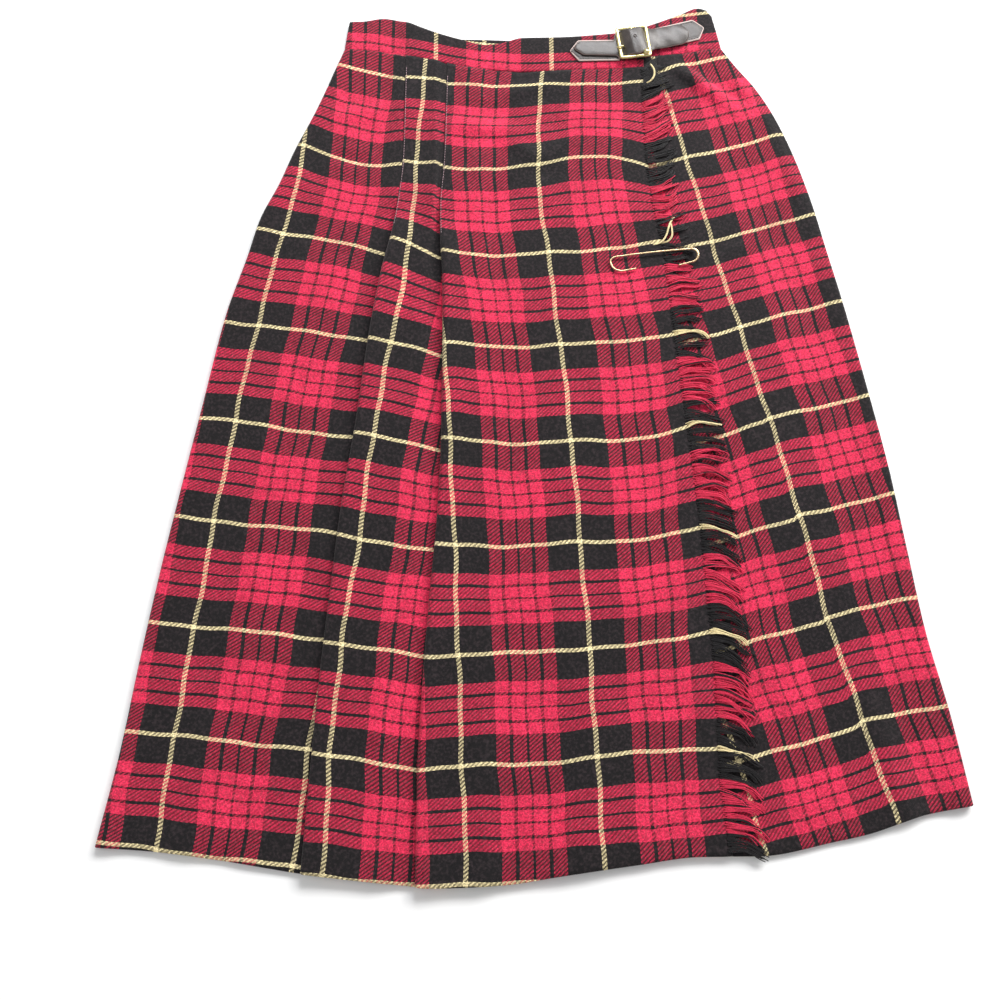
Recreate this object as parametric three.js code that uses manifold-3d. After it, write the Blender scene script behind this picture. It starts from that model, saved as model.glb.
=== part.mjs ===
// A pleated tartan wrap skirt, laid flat on its back: fringed over apron, two knife pleats beside
// it, plain under apron, waistband, leather strap with a brass buckle, and a brass kilt pin.
// Millimetres. X runs across the skirt, Y from hem to waistband, Z up from the surface below.

import * as THREE from 'three';
import { mergeVertices } from 'three/addons/utils/BufferGeometryUtils.js';
import Module from 'manifold-3d';

// ---- driving dimensions --------------------------------------------------------------------

const CLOTH = 1.5;            // wall of the woollen cloth
const CLEAR = 0.5;            // space between two layers that lie on each other
const SEAM = 0.3;             // gap where two pieces are sewn together
const LAYER = CLOTH + CLEAR;  // height from one layer to the next
const SIDE_TURN = 30;         // how far a side wraps under to its seam with the back
const TUCK = 6;               // from the inner crease of pleat B to the under apron's free edge
const BROAD_FOLD = 35;        // half width from which a fold reaches the hidden layers
const TURN_STEPS = 5;         // steps round the arc of a turned edge

// Where each long edge lies, by the share of the way down from waist seam to hem.
const EDGES = [
  { down: 0.00, left: -176.5, pleatA: -117.5, pleatB: -78.5, fringe: 107.5, right: 182.5 },
  { down: 0.03, left: -184.5, pleatA: -117.5, pleatB: -78.7, fringe: 107.5, right: 196.0 },
  { down: 0.06, left: -192.0, pleatA: -117.5, pleatB: -79.0, fringe: 107.5, right: 211.0 },
  { down: 0.10, left: -203.0, pleatA: -117.5, pleatB: -79.3, fringe: 107.8, right: 226.0 },
  { down: 0.15, left: -218.5, pleatA: -118.0, pleatB: -80.5, fringe: 108.4, right: 239.5 },
  { down: 0.20, left: -231.5, pleatA: -121.0, pleatB: -83.0, fringe: 112.5, right: 250.0 },
  { down: 0.25, left: -247.0, pleatA: -125.5, pleatB: -82.0, fringe: 118.0, right: 258.5 },
  { down: 0.30, left: -256.0, pleatA: -133.5, pleatB: -79.5, fringe: 122.8, right: 265.5 },
  { down: 0.38, left: -271.8, pleatA: -142.8, pleatB: -78.5, fringe: 127.0, right: 277.0 },
  { down: 0.50, left: -287.0, pleatA: -152.5, pleatB: -78.5, fringe: 134.5, right: 292.0 },
  { down: 0.60, left: -299.5, pleatA: -162.0, pleatB: -81.0, fringe: 140.5, right: 303.5 },
  { down: 0.70, left: -311.5, pleatA: -168.5, pleatB: -86.5, fringe: 144.5, right: 312.0 },
  { down: 0.80, left: -322.0, pleatA: -174.5, pleatB: -91.0, fringe: 147.5, right: 320.5 },
  { down: 0.90, left: -331.5, pleatA: -178.5, pleatB: -93.3, fringe: 147.5, right: 334.0 },
  { down: 1.00, left: -344.5, pleatA: -182.5, pleatB: -93.5, fringe: 152.5, right: 344.5 },
];

const WAIST_SEAM = [   // lower edge of the front waistband
  { x: -176.5, y: 355.5 }, { x: -150, y: 353.5 }, { x: -123, y: 347.5 }, { x: -92, y: 340.5 },
  { x: -66, y: 334.5 }, { x: -37, y: 330.5 }, { x: -4, y: 329 }, { x: 39, y: 331 },
  { x: 88, y: 333 }, { x: 108, y: 334.5 },
];
const UNDER_SEAM = [   // lower edge of the under apron's waistband
  { x: -45, y: 333 }, { x: 60, y: 340 }, { x: 115, y: 347 }, { x: 183, y: 356 },
];
const HEM = [
  { x: -344.5, y: -371.5 }, { x: -300, y: -374.5 }, { x: -244, y: -381.5 },
  { x: -183, y: -391 }, { x: -105, y: -399.5 }, { x: -83, y: -401.5 }, { x: -28, y: -399.5 },
  { x: 21, y: -392.5 }, { x: 79, y: -384.5 }, { x: 127, y: -378.5 }, { x: 175, y: -378 },
  { x: 233, y: -367.5 }, { x: 261, y: -361.5 }, { x: 305, y: -347.5 }, { x: 344.5, y: -340 },
];
const BAND_TOP = [     // upper edge of the front waistband
  { x: -176, y: 386 }, { x: -160, y: 386.5 }, { x: -141, y: 389.5 }, { x: -122, y: 385.5 },
  { x: -107, y: 378.5 }, { x: -85, y: 369.5 }, { x: -68, y: 364 }, { x: -42, y: 357.5 },
  { x: -28, y: 359.5 }, { x: -8, y: 366 }, { x: 30, y: 367 }, { x: 108, y: 374 },
];
const UNDER_BAND_TOP = [
  { x: -45, y: 356 }, { x: 60, y: 366 }, { x: 112, y: 381 }, { x: 148, y: 395.5 },
  { x: 162, y: 401.5 }, { x: 170, y: 399.5 }, { x: 176, y: 391.5 },
];
const BACK_BAND_TOP = [
  { x: -176, y: 384 }, { x: -141, y: 386 }, { x: -107, y: 376 }, { x: -75, y: 368.5 },
  { x: -40, y: 367.5 }, { x: -10, y: 366.5 }, { x: 108, y: 372 }, { x: 162, y: 398 },
  { x: 176, y: 389 },
];

// Height of each pleat's folded edge above its flat layer, by the share of the way down.
const PLEAT_CREST = [
  { down: 0.00, pleatA: 0.2, pleatB: 0.2 },
  { down: 0.21, pleatA: 0.3, pleatB: 0.3 },
  { down: 0.27, pleatA: 6.0, pleatB: 5.5 },
  { down: 0.38, pleatA: 4.5, pleatB: 5.0 },
  { down: 0.60, pleatA: 2.5, pleatB: 3.0 },
  { down: 1.00, pleatA: 2.2, pleatB: 2.6 },
];

// Soft folds of the upper layers: centre, turn from +X in degrees, half sizes and height.
const FOLDS = [
  { name: 'over apron body', x: 25, y: -30, turn: 84, length: 250, width: 75, height: 2.6 },
  { name: 'left front body', x: -235, y: -120, turn: 80, length: 190, width: 42, height: 2.2 },
  { name: 'under apron body', x: 235, y: -80, turn: -78, length: 210, width: 45, height: 2.4 },
  { name: 'hip beside pleat', x: -196, y: 190, turn: 68, length: 80, width: 20, height: 2.6 },
  { name: 'hollow beside pleat', x: -156, y: 135, turn: 72, length: 42, width: 13, height: -1.8 },
  { name: 'right hip ridge', x: 163, y: 318, turn: -42, length: 30, width: 8, height: 4.5 },
  { name: 'right hip fall', x: 214, y: 250, turn: -58, length: 60, width: 20, height: 2.2 },
  { name: 'apron crease', x: 4, y: 236, turn: 28, length: 30, width: 9, height: 1.5 },
  { name: 'hem wave right', x: 286, y: -325, turn: -76, length: 62, width: 11, height: 3.6 },
  { name: 'hem wave middle', x: 40, y: -350, turn: 86, length: 90, width: 24, height: 2.0 },
  { name: 'hem wave left', x: -272, y: -340, turn: 78, length: 70, width: 16, height: 2.2 },
];

const COLOURS = {
  cloth: 0xc8203c,
  under: 0xb01c36,
  band: 0xa81c34,
  fringe: 0xd02040,
  leather: 0x2a211d,
  brass: 0xb8963c,
};

// ---- small tools ---------------------------------------------------------------------------

// Value of a table's column at a place along its key column: a smooth curve through the rows
// that never swings past them.
function along(table, key, column, at) {
  const last = table.length - 1;
  if (at <= table[0][key]) return table[0][column];
  if (at >= table[last][key]) return table[last][column];
  let i = 1;
  while (at > table[i][key]) i += 1;
  const slope = (k) => (table[k + 1][column] - table[k][column]) / (table[k + 1][key] - table[k][key]);
  const tangent = (k) => {
    if (k === 0) return slope(0);
    if (k === last) return slope(last - 1);
    const [before, after] = [slope(k - 1), slope(k)];
    return before * after <= 0 ? 0 : (2 * before * after) / (before + after);
  };
  const span = table[i][key] - table[i - 1][key];
  const t = (at - table[i - 1][key]) / span;
  const near = (1 + 2 * t) * (1 - t) * (1 - t) * table[i - 1][column];
  const far = t * t * (3 - 2 * t) * table[i][column];
  const lean = t * (1 - t) * span * ((1 - t) * tangent(i - 1) - t * tangent(i));
  return near + far + lean;
}

const mix = (a, b, t) => a + (b - a) * t;

const smooth = (from, to, at) => {
  const t = Math.min(1, Math.max(0, (at - from) / (to - from)));
  return t * t * (3 - 2 * t);
};

const edge = (name, down) => along(EDGES, 'down', name, down);

// Middle height of the n-th layer above the surface, before any soft fold.
const layerHeight = (n) => CLOTH / 2 + n * LAYER;

// How far soft folds lift the upper layers at a place. A hidden layer follows only the broad
// ones, and lies a little lower than the layer that covers it.
function lift(x, y, hidden = 0) {
  return mix(foldSum(x, y, 0), 0.8 * foldSum(x, y, BROAD_FOLD), hidden);
}

function foldSum(x, y, least) {
  let total = 0.6;
  for (const fold of FOLDS) {
    if (fold.width < least) continue;
    const turn = THREE.MathUtils.degToRad(fold.turn);
    const dx = x - fold.x;
    const dy = y - fold.y;
    const run = (dx * Math.cos(turn) + dy * Math.sin(turn)) / fold.length;
    const side = (-dx * Math.sin(turn) + dy * Math.cos(turn)) / fold.width;
    total += fold.height * Math.exp(-(run * run + side * side));
  }
  return Math.max(0, total);
}

// A repeatable number from 0 to 1 for a strand.
const scatter = (n, salt) => {
  const s = Math.sin(n * 12.9898 + salt * 78.233) * 43758.5453;
  return s - Math.floor(s);
};

// A closed geometry from points and triangles.
function solid(points, faces) {
  const geometry = new THREE.BufferGeometry();
  geometry.setAttribute('position', new THREE.Float32BufferAttribute(points.flat(), 3));
  geometry.setIndex(faces.flat());
  geometry.computeVertexNormals();
  return geometry;
}

// A wall on both sides of a grid of points: grid[row][column] = [x, y, z, thickness].
function wall(grid) {
  const rows = grid.length;
  const columns = grid[0].length;
  const points = [];
  const at = (r, c) => new THREE.Vector3(grid[r][c][0], grid[r][c][1], grid[r][c][2]);
  const low = [];
  for (let r = 0; r < rows; r += 1) {
    for (let c = 0; c < columns; c += 1) {
      const across = at(r, Math.min(columns - 1, c + 1)).sub(at(r, Math.max(0, c - 1)));
      across.y = 0;
      const normal = new THREE.Vector3(-across.z, 0, across.x).normalize();
      const half = (grid[r][c][3] ?? CLOTH) / 2;
      const middle = at(r, c);
      points.push(middle.clone().addScaledVector(normal, half).toArray());
      low.push(middle.clone().addScaledVector(normal, -half).toArray());
    }
  }
  const count = points.length;
  points.push(...low);
  const faces = [];
  const quad = (a, b, c, d) => faces.push([a, b, c], [a, c, d]);
  const id = (r, c) => r * columns + c;
  for (let r = 0; r + 1 < rows; r += 1) {
    for (let c = 0; c + 1 < columns; c += 1) {
      const [a, b, d, e] = [id(r, c), id(r, c + 1), id(r + 1, c + 1), id(r + 1, c)];
      quad(e, d, b, a);
      quad(count + a, count + b, count + d, count + e);
    }
    quad(id(r, 0), count + id(r, 0), count + id(r + 1, 0), id(r + 1, 0));
    const last = columns - 1;
    quad(id(r + 1, last), count + id(r + 1, last), count + id(r, last), id(r, last));
  }
  for (let c = 0; c + 1 < columns; c += 1) {
    quad(id(0, c + 1), count + id(0, c + 1), count + id(0, c), id(0, c));
    const r = rows - 1;
    quad(id(r, c), count + id(r, c), count + id(r, c + 1), id(r, c + 1));
  }
  return solid(points, faces);
}

function part(name, geometry, colour, metalness = 0, roughness = 0.9) {
  const material = new THREE.MeshStandardMaterial({ color: colour, metalness, roughness });
  const mesh = new THREE.Mesh(geometry, material);
  mesh.name = name;
  return mesh;
}

// ---- cloth panels --------------------------------------------------------------------------

// Depth of the cloth folded under each pleat's edge.
const depthA = (down) => mix(25, 48, down);
const depthB = (down) => mix(28, 50, down);

// Height along Y of the point that is at x0 on the waist seam and x1 on the hem.
function drop(x0, x1, down, seam = WAIST_SEAM, short = 0) {
  return mix(along(seam, 'x', 'y', x0), along(HEM, 'x', 'y', x1) + short, down);
}

// Points of a turned edge, an arc from the lower layer over the outside to the upper layer.
function turnedEdge(x, inward, lower, upper) {
  const radius = (upper - lower) / 2;
  const points = [];
  for (let i = 0; i <= TURN_STEPS; i += 1) {
    const angle = -Math.PI / 2 + (Math.PI * i) / TURN_STEPS;
    const out = Math.cos(angle) * radius;
    points.push({ x: x + inward * (radius - out), z: lower + radius + Math.sin(angle) * radius });
  }
  return points;
}

// Shares from 0 to 1, closer together towards the start where the cloth bends most.
const shares = (count) => Array.from({ length: count }, (_, i) => ((i + 1) / count) ** 1.35);

// Shares of the way down at which a panel has a section.
const STATIONS = [0, 0.04, 0.09, 0.15, 0.2, 0.23, 0.26, 0.3, 0.35, 0.41, 0.48, 0.56, 0.64, 0.72,
  0.8, 0.87, 0.94, 1];

// A panel's rows, each from a function that gives the section at its share of the way down.
function panel(section) {
  return wall(STATIONS.map((down) => section(down)));
}

// Edge heights with the soft roll of the cloth where it turns round a side.
const sideRoll = (down) => mix(1.2, 3.2, smooth(0, 0.25, down));

// Left front: from its seam under the left side, round it, to the inner crease of pleat A.
function leftFront() {
  return panel((down) => {
    const left = edge('left', down);
    const end = edge('pleatA', down) + depthA(down);
    const x0 = (x) => mix(edge('left', 0), edge('pleatA', 0) + depthA(0), (x - left) / (end - left));
    const x1 = (x) => mix(edge('left', 1), edge('pleatA', 1) + depthA(1), (x - left) / (end - left));
    const yAt = (x) => drop(x0(x), x1(x), down);
    const fold = edge('pleatA', down);
    const topAt = (x) => {
      const roll = sideRoll(down) * Math.exp(-(((x - left) / 16) ** 2));
      const clear = smooth(0, 10, x - left);
      const hidden = smooth(fold - 14, fold - 1, x);
      return layerHeight(1) + roll + lift(x, yAt(x), hidden) * clear;
    };
    const row = [left + SIDE_TURN, left + SIDE_TURN * 0.4].map((x) => [x, yAt(x), layerHeight(0)]);
    for (const p of turnedEdge(left, 1, layerHeight(0), topAt(left))) {
      row.push([p.x, yAt(p.x), p.z]);
    }
    const start = row[row.length - 1][0];
    const stops = shares(10).map((s) => mix(start, fold, s));
    for (const x of stops.concat([mix(fold, end, 0.5), end])) row.push([x, yAt(x), topAt(x)]);
    return row;
  });
}

// Stops across the cloth folded under a pleat, shared by both of its layers.
const UNDER_STOPS = [1, 0.7, 0.4];

// Pleat A: from its inner crease, left to its folded edge, over it, and right to the inner
// crease of pleat B.
function pleatPanel() {
  return panel((down) => {
    const fold = edge('pleatA', down);
    const next = edge('pleatB', down);
    const crease = fold + depthA(down);
    const end = next + depthB(down);
    const share = (x) => (x - fold) / (end - fold);
    const x0 = (x) => mix(edge('pleatA', 0), edge('pleatB', 0) + depthB(0), share(x));
    const x1 = (x) => mix(edge('pleatA', 1), edge('pleatB', 1) + depthB(1), share(x));
    const yAt = (x) => drop(x0(x), x1(x), down);
    const crest = along(PLEAT_CREST, 'down', 'pleatA', down);
    const topAt = (x) => {
      const fall = LAYER * 2 * smooth(crease + 1, next - 3, x);
      const rise = crest * Math.exp(-(((x - fold) / 17) ** 2));
      return layerHeight(3) - fall + rise + lift(x, yAt(x), smooth(next - 14, next - 2, x));
    };
    const under = (x) => layerHeight(2) + lift(x, yAt(x));
    const row = UNDER_STOPS.map((s) => mix(fold, crease, s)).map((x) => [x, yAt(x), under(x)]);
    for (const p of turnedEdge(fold, 1, under(fold), topAt(fold))) {
      row.push([p.x, yAt(p.x), p.z]);
    }
    const steps = UNDER_STOPS.toReversed().map((s) => mix(fold, crease, s));
    for (const s of [0.33, 0.66, 1]) steps.push(mix(crease, next - 3, s));
    for (const s of [0.3, 0.65, 1]) steps.push(mix(next - 3, end, s));
    for (const x of steps) row.push([x, yAt(x), topAt(x)]);
    return row;
  });
}

// Over apron: from the inner crease of pleat B, left to its folded edge, over it, and right to
// the fringed edge.
function overApron() {
  return panel((down) => {
    const fold = edge('pleatB', down);
    const crease = fold + depthB(down);
    const end = edge('fringe', down);
    const share = (x) => (x - fold) / (end - fold);
    const x0 = (x) => mix(edge('pleatB', 0), edge('fringe', 0), share(x));
    const x1 = (x) => mix(edge('pleatB', 1), edge('fringe', 1), share(x));
    const yAt = (x) => drop(x0(x), x1(x), down);
    const crest = along(PLEAT_CREST, 'down', 'pleatB', down);
    const topAt = (x) => {
      const fall = LAYER * smooth(crease + 1, crease + 18, x);
      const rise = crest * Math.exp(-(((x - fold) / 19) ** 2));
      return layerHeight(3) - fall + rise + lift(x, yAt(x));
    };
    const under = (x) => layerHeight(2) + lift(x, yAt(x));
    const row = UNDER_STOPS.map((s) => mix(fold, crease, s)).map((x) => [x, yAt(x), under(x)]);
    for (const p of turnedEdge(fold, 1, under(fold), topAt(fold))) {
      row.push([p.x, yAt(p.x), p.z]);
    }
    const steps = UNDER_STOPS.toReversed().map((s) => mix(fold, crease, s));
    for (const s of [0.5, 1]) steps.push(mix(crease, crease + 18, s));
    for (let i = 1; i <= 7; i += 1) steps.push(mix(crease + 18, end, i / 7));
    for (const x of steps) row.push([x, yAt(x), topAt(x)]);
    return row;
  });
}

// Under apron: from its free edge below the over apron, right to the side, round it, to its
// seam with the back.
function underApron() {
  return panel((down) => {
    const start = edge('pleatB', down) + depthB(down) + TUCK;
    const right = edge('right', down);
    const share = (x) => (x - start) / (right - start);
    const x0 = (x) => mix(edge('pleatB', 0) + depthB(0) + TUCK, edge('right', 0), share(x));
    const x1 = (x) => mix(edge('pleatB', 1) + depthB(1) + TUCK, edge('right', 1), share(x));
    const fringe = edge('fringe', down);
    // below the over apron the hem and the waist seam stay inside its own edges
    const yAt = (x) => {
      const tucked = 1 - smooth(fringe - 12, fringe + 2, x);
      return drop(x0(x), x1(x), down, UNDER_SEAM, 2.5 * tucked);
    };
    const topAt = (x) => {
      const roll = sideRoll(down) * Math.exp(-(((right - x) / 16) ** 2));
      const clear = smooth(0, 10, right - x);
      const hidden = 1 - smooth(fringe + 2, fringe + 12, x);
      return layerHeight(1) + roll + lift(x, yAt(x), hidden) * clear;
    };
    const arc = turnedEdge(right, -1, layerHeight(0), topAt(right)).reverse();
    const row = [];
    const last = arc[0].x;
    for (const s of [0, 0.4, 0.8, 1]) {
      const x = mix(start, fringe - 12, s);
      row.push([x, yAt(x), topAt(x)]);
    }
    for (const s of shares(11).map((v) => 1 - v).reverse().slice(1).concat([1])) {
      const x = mix(fringe - 12, last, s);
      if (s < 1) row.push([x, yAt(x), topAt(x)]);
    }
    for (const p of arc) row.push([p.x, yAt(p.x), p.z]);
    for (const x of [right - SIDE_TURN * 0.4, right - SIDE_TURN]) {
      row.push([x, yAt(x), layerHeight(0)]);
    }
    return row;
  });
}

const BACK_COLUMNS = 16;

// Seam between back and waistband, level with the front's at either side.
function backSeam(x) {
  const front = along(WAIST_SEAM, 'x', 'y', x);
  return mix(front, along(UNDER_SEAM, 'x', 'y', x), smooth(60, 130, x));
}

// Back: one flat panel between the two side turns.
function backPanel() {
  const left = (down) => edge('left', down) + SIDE_TURN + SEAM;
  const right = (down) => edge('right', down) - SIDE_TURN - SEAM;
  const place = (down, share) => {
    const seam = backSeam(mix(left(0), right(0), share));
    const hem = along(HEM, 'x', 'y', mix(left(1), right(1), share));
    return new THREE.Vector2(mix(left(down), right(down), share), mix(seam, hem, down));
  };
  const across = Array.from({ length: BACK_COLUMNS - 1 }, (_, i) => (i + 1) / BACK_COLUMNS);
  const outline = [
    ...STATIONS.map((down) => place(down, 0)),
    ...across.map((share) => place(1, share)),
    ...STATIONS.toReversed().map((down) => place(down, 1)),
    ...across.toReversed().map((share) => place(0, share)),
  ];
  return new THREE.ExtrudeGeometry(new THREE.Shape(outline), { depth: CLOTH, bevelEnabled: false });
}

// ---- waistband -----------------------------------------------------------------------------

const BAND = 2.0;                        // folded waistband, two cloths and its seam allowance
const BACK_BAND_MIDDLE = BAND / 2;
const UNDER_BAND_MIDDLE = BAND * 1.5 + SEAM;
const BAND_SHARES = [1, 2 / 3, 1 / 3, 0];

// Underside and upper face of the front waistband, which rides over the pleats and under apron.
const FRONT_BAND = [
  { x: -176, under: 2.3, over: 4.4 }, { x: -128, under: 2.3, over: 4.6 },
  { x: -112, under: 4.2, over: 8.0 }, { x: -60, under: 4.4, over: 8.2 },
  { x: -40, under: 4.6, over: 8.0 }, { x: -15, under: 4.6, over: 6.9 },
  { x: 108, under: 4.6, over: 6.9 },
];

// A band's wall, from a function that gives its section at the share up from its lower edge.
function band(section) {
  return wall(BAND_SHARES.map((up) => section(up)));
}

function frontBand() {
  return band((up) => {
    const left = mix(edge('left', 0), -173, up);
    const yAt = (x) => mix(along(WAIST_SEAM, 'x', 'y', x) + SEAM, along(BAND_TOP, 'x', 'y', x), up);
    const over = (x) => along(FRONT_BAND, 'x', 'over', x);
    const under = (x) => along(FRONT_BAND, 'x', 'under', x);
    const middle = (x) => (over(x) + under(x)) / 2;
    const row = [left + SIDE_TURN, left + 12].map((x) => [x, yAt(x), BACK_BAND_MIDDLE, BAND]);
    for (const p of turnedEdge(left, 1, BACK_BAND_MIDDLE, middle(left))) {
      row.push([p.x, yAt(p.x), p.z, BAND]);
    }
    for (const x of [-160, -146, -134, -122, -112, -98, -85, -72, -58, -44, -30, -15, 5, 30, 60,
      90, 107.5]) {
      row.push([x, yAt(x), middle(x), over(x) - under(x)]);
    }
    return row;
  });
}

function underBand() {
  return band((up) => {
    const right = mix(edge('right', 0), 175.5, up);
    const start = edge('pleatB', 0) + depthB(0) + TUCK;
    const yAt = (x) => mix(along(UNDER_SEAM, 'x', 'y', x) + SEAM,
      along(UNDER_BAND_TOP, 'x', 'y', x) - 3 * (1 - smooth(95, 112, x)), up);
    const row = [start, 10, 60, 90, 112, 130, 148, 158, 165].map(
      (x) => [x, yAt(x), UNDER_BAND_MIDDLE, BAND]);
    const arc = turnedEdge(right, -1, BACK_BAND_MIDDLE, UNDER_BAND_MIDDLE).reverse();
    for (const p of arc) row.push([p.x, yAt(p.x), p.z, BAND]);
    for (const x of [right - 12, right - SIDE_TURN]) row.push([x, yAt(x), BACK_BAND_MIDDLE, BAND]);
    return row;
  });
}

function backBand() {
  const left = (up) => mix(edge('left', 0), -173, up) + SIDE_TURN + SEAM;
  const right = (up) => mix(edge('right', 0), 175.5, up) - SIDE_TURN - SEAM;
  const across = Array.from({ length: BACK_COLUMNS + 1 }, (_, i) => i / BACK_COLUMNS);
  const lower = across.map((share) => {
    const x = mix(left(0), right(0), share);
    return new THREE.Vector2(x, backSeam(x) + SEAM);
  });
  const upper = across.map((share) => {
    const x = mix(left(1), right(1), share);
    return new THREE.Vector2(x, along(BACK_BAND_TOP, 'x', 'y', x));
  });
  const outline = new THREE.Shape([...lower, ...upper.reverse()]);
  return new THREE.ExtrudeGeometry(outline, { depth: BAND, bevelEnabled: false });
}

// ---- fringe --------------------------------------------------------------------------------

const LOCKS = 140;            // locks of yarn down the fringed edge
const STRIP = 2.2;            // woven strip that the locks grow from
const STRIP_GAP = SEAM + 0.2; // from the apron's edge to the strip
const LOCK_LENGTH = 26;
const LOCK_THICK = 1.2;
const FRINGE_FROM = 0.04;     // share of the way down where the fringe starts
const FRINGE_TO = 0.995;

// Half width and thickness of a lock at two places along it.
const LOCK_CUTS = [{ at: 0.45, wide: 1.1, thick: 1.0 }, { at: 1, wide: 0.45, thick: 0.7 }];

// Direction of the locks, in degrees from +X, by the share of the way down.
const LOCK_LIE = [
  { down: 0.00, lie: 38, reach: 1.0 }, { down: 0.10, lie: 26, reach: 1.0 },
  { down: 0.20, lie: 14, reach: 0.9 }, { down: 0.32, lie: 0, reach: 0.9 },
  { down: 0.55, lie: -8, reach: 1.05 }, { down: 0.75, lie: -22, reach: 1.1 },
  { down: 1.00, lie: -34, reach: 0.95 },
];

// Place on the over apron's right edge, straight between the panel's sections as the panel is.
function fringeStation(share) {
  const down = mix(FRINGE_FROM, FRINGE_TO, share);
  const next = STATIONS.findIndex((station) => station >= down);
  const [a, b] = [STATIONS[next - 1], STATIONS[next]];
  const part = (down - a) / (b - a);
  const yAt = (at) => drop(edge('fringe', 0), edge('fringe', 1), at);
  const zAt = (at) => layerHeight(2) + lift(edge('fringe', at), yAt(at));
  return {
    down,
    x: mix(edge('fringe', a), edge('fringe', b), part),
    y: yAt(down),
    z: mix(zAt(a), zAt(b), part),
  };
}

function fringe() {
  const points = [];
  const faces = [];
  const quad = (a, b, c, d) => faces.push([a, b, c], [a, c, d]);
  const put = (x, y, z) => points.push([x, y, z]) - 1;
  // the strip: four points at each station, inner low and high, outer low and high
  const rings = [];
  for (let i = 0; i <= LOCKS; i += 1) {
    const s = fringeStation(i / LOCKS);
    const [low, high] = [s.z - LOCK_THICK / 2, s.z + LOCK_THICK / 2];
    const inner = s.x + STRIP_GAP;
    const outer = inner + STRIP;
    rings.push([
      put(inner, s.y, low), put(inner, s.y, high), put(outer, s.y, low), put(outer, s.y, high),
    ]);
  }
  for (let i = 0; i < LOCKS; i += 1) {
    const [il, ih, ol, oh] = rings[i];
    const [jl, jh, pl, ph] = rings[i + 1];
    quad(ih, jh, ph, oh);
    quad(il, ol, pl, jl);
    quad(il, jl, jh, ih);
    lock(i, [oh, ph, pl, ol], points, faces, put);
  }
  const [al, ah, bl, bh] = rings[0];
  quad(al, ah, bh, bl);
  const [cl, ch, dl, dh] = rings[LOCKS];
  quad(cl, dl, dh, ch);
  return solid(points, faces);
}

// One four-sided lock that grows from a cell of the strip and tapers to its tip.
function lock(n, base, points, faces, put) {
  const station = fringeStation((n + 0.5) / LOCKS);
  const swing = (scatter(n, 1) - 0.5) * 10 + Math.sin(n * 0.9) * 5;
  const lie = along(LOCK_LIE, 'down', 'lie', station.down);
  const reach = LOCK_LENGTH * along(LOCK_LIE, 'down', 'reach', station.down);
  const length = reach * mix(0.86, 1.04, scatter(n, 2));
  const start = { x: station.x + STRIP_GAP + STRIP, y: station.y };
  const sides = (a, b) => {
    for (let k = 0; k < 4; k += 1) {
      const m = (k + 1) % 4;
      faces.push([a[k], a[m], b[m]], [a[k], b[m], b[k]]);
    }
  };
  let ring = base;
  for (const cut of LOCK_CUTS) {
    const angle = THREE.MathUtils.degToRad(lie * (0.5 + 0.5 * cut.at) + swing * cut.at * 0.6);
    const x = start.x + Math.cos(angle) * length * cut.at;
    const y = start.y + Math.sin(angle) * length * cut.at;
    const z = layerHeight(2) + lift(x, y) + 0.15 * (1 - cut.at);
    const sx = -Math.sin(angle) * cut.wide;
    const sy = Math.cos(angle) * cut.wide;
    const t = cut.thick / 2;
    const next = [put(x + sx, y + sy, z + t), put(x - sx, y - sy, z + t),
      put(x - sx, y - sy, z - t), put(x + sx, y + sy, z - t)];
    sides(ring, next);
    ring = next;
  }
  faces.push([ring[0], ring[1], ring[2]], [ring[0], ring[2], ring[3]]);
}

// ---- strap and buckle ----------------------------------------------------------------------

const wasm = await Module();
wasm.setup();

const STRAP_TURN = THREE.MathUtils.degToRad(12);   // strap's rise to the right of the buckle
const BUCKLE_AT = { x: 99, y: 359, z: 11.0 };      // centre of the frame's underside
const FRAME = { width: 31, height: 32, bar: 2.8, thick: 2.6, round: 3.4 };
const STRAP = { width: 20.5, thick: 1.8 };
const TAB = { width: 24, thick: 1.4, point: 8 };

function toManifold(geometry) {
  const plain = geometry.clone();
  plain.deleteAttribute('normal');
  plain.deleteAttribute('uv');
  const merged = mergeVertices(plain, 1e-4);
  return new wasm.Manifold(new wasm.Mesh({
    numProp: 3,
    vertProperties: merged.attributes.position.array,
    triVerts: new Uint32Array(merged.index.array),
  }));
}

function fromManifold(manifold) {
  const mesh = manifold.getMesh();
  const geometry = new THREE.BufferGeometry();
  geometry.setAttribute('position', new THREE.BufferAttribute(mesh.vertProperties, 3));
  geometry.setIndex(new THREE.BufferAttribute(mesh.triVerts, 1));
  geometry.computeVertexNormals();
  return geometry;
}

function roundedRectangle(path, left, bottom, right, top, r) {
  path.moveTo(left + r, bottom);
  path.lineTo(right - r, bottom);
  path.absarc(right - r, bottom + r, r, -Math.PI / 2, 0, false);
  path.lineTo(right, top - r);
  path.absarc(right - r, top - r, r, 0, Math.PI / 2, false);
  path.lineTo(left + r, top);
  path.absarc(left + r, top - r, r, Math.PI / 2, Math.PI, false);
  path.lineTo(left, bottom + r);
  path.absarc(left + r, bottom + r, r, Math.PI, Math.PI * 1.5, false);
  return path;
}

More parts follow.
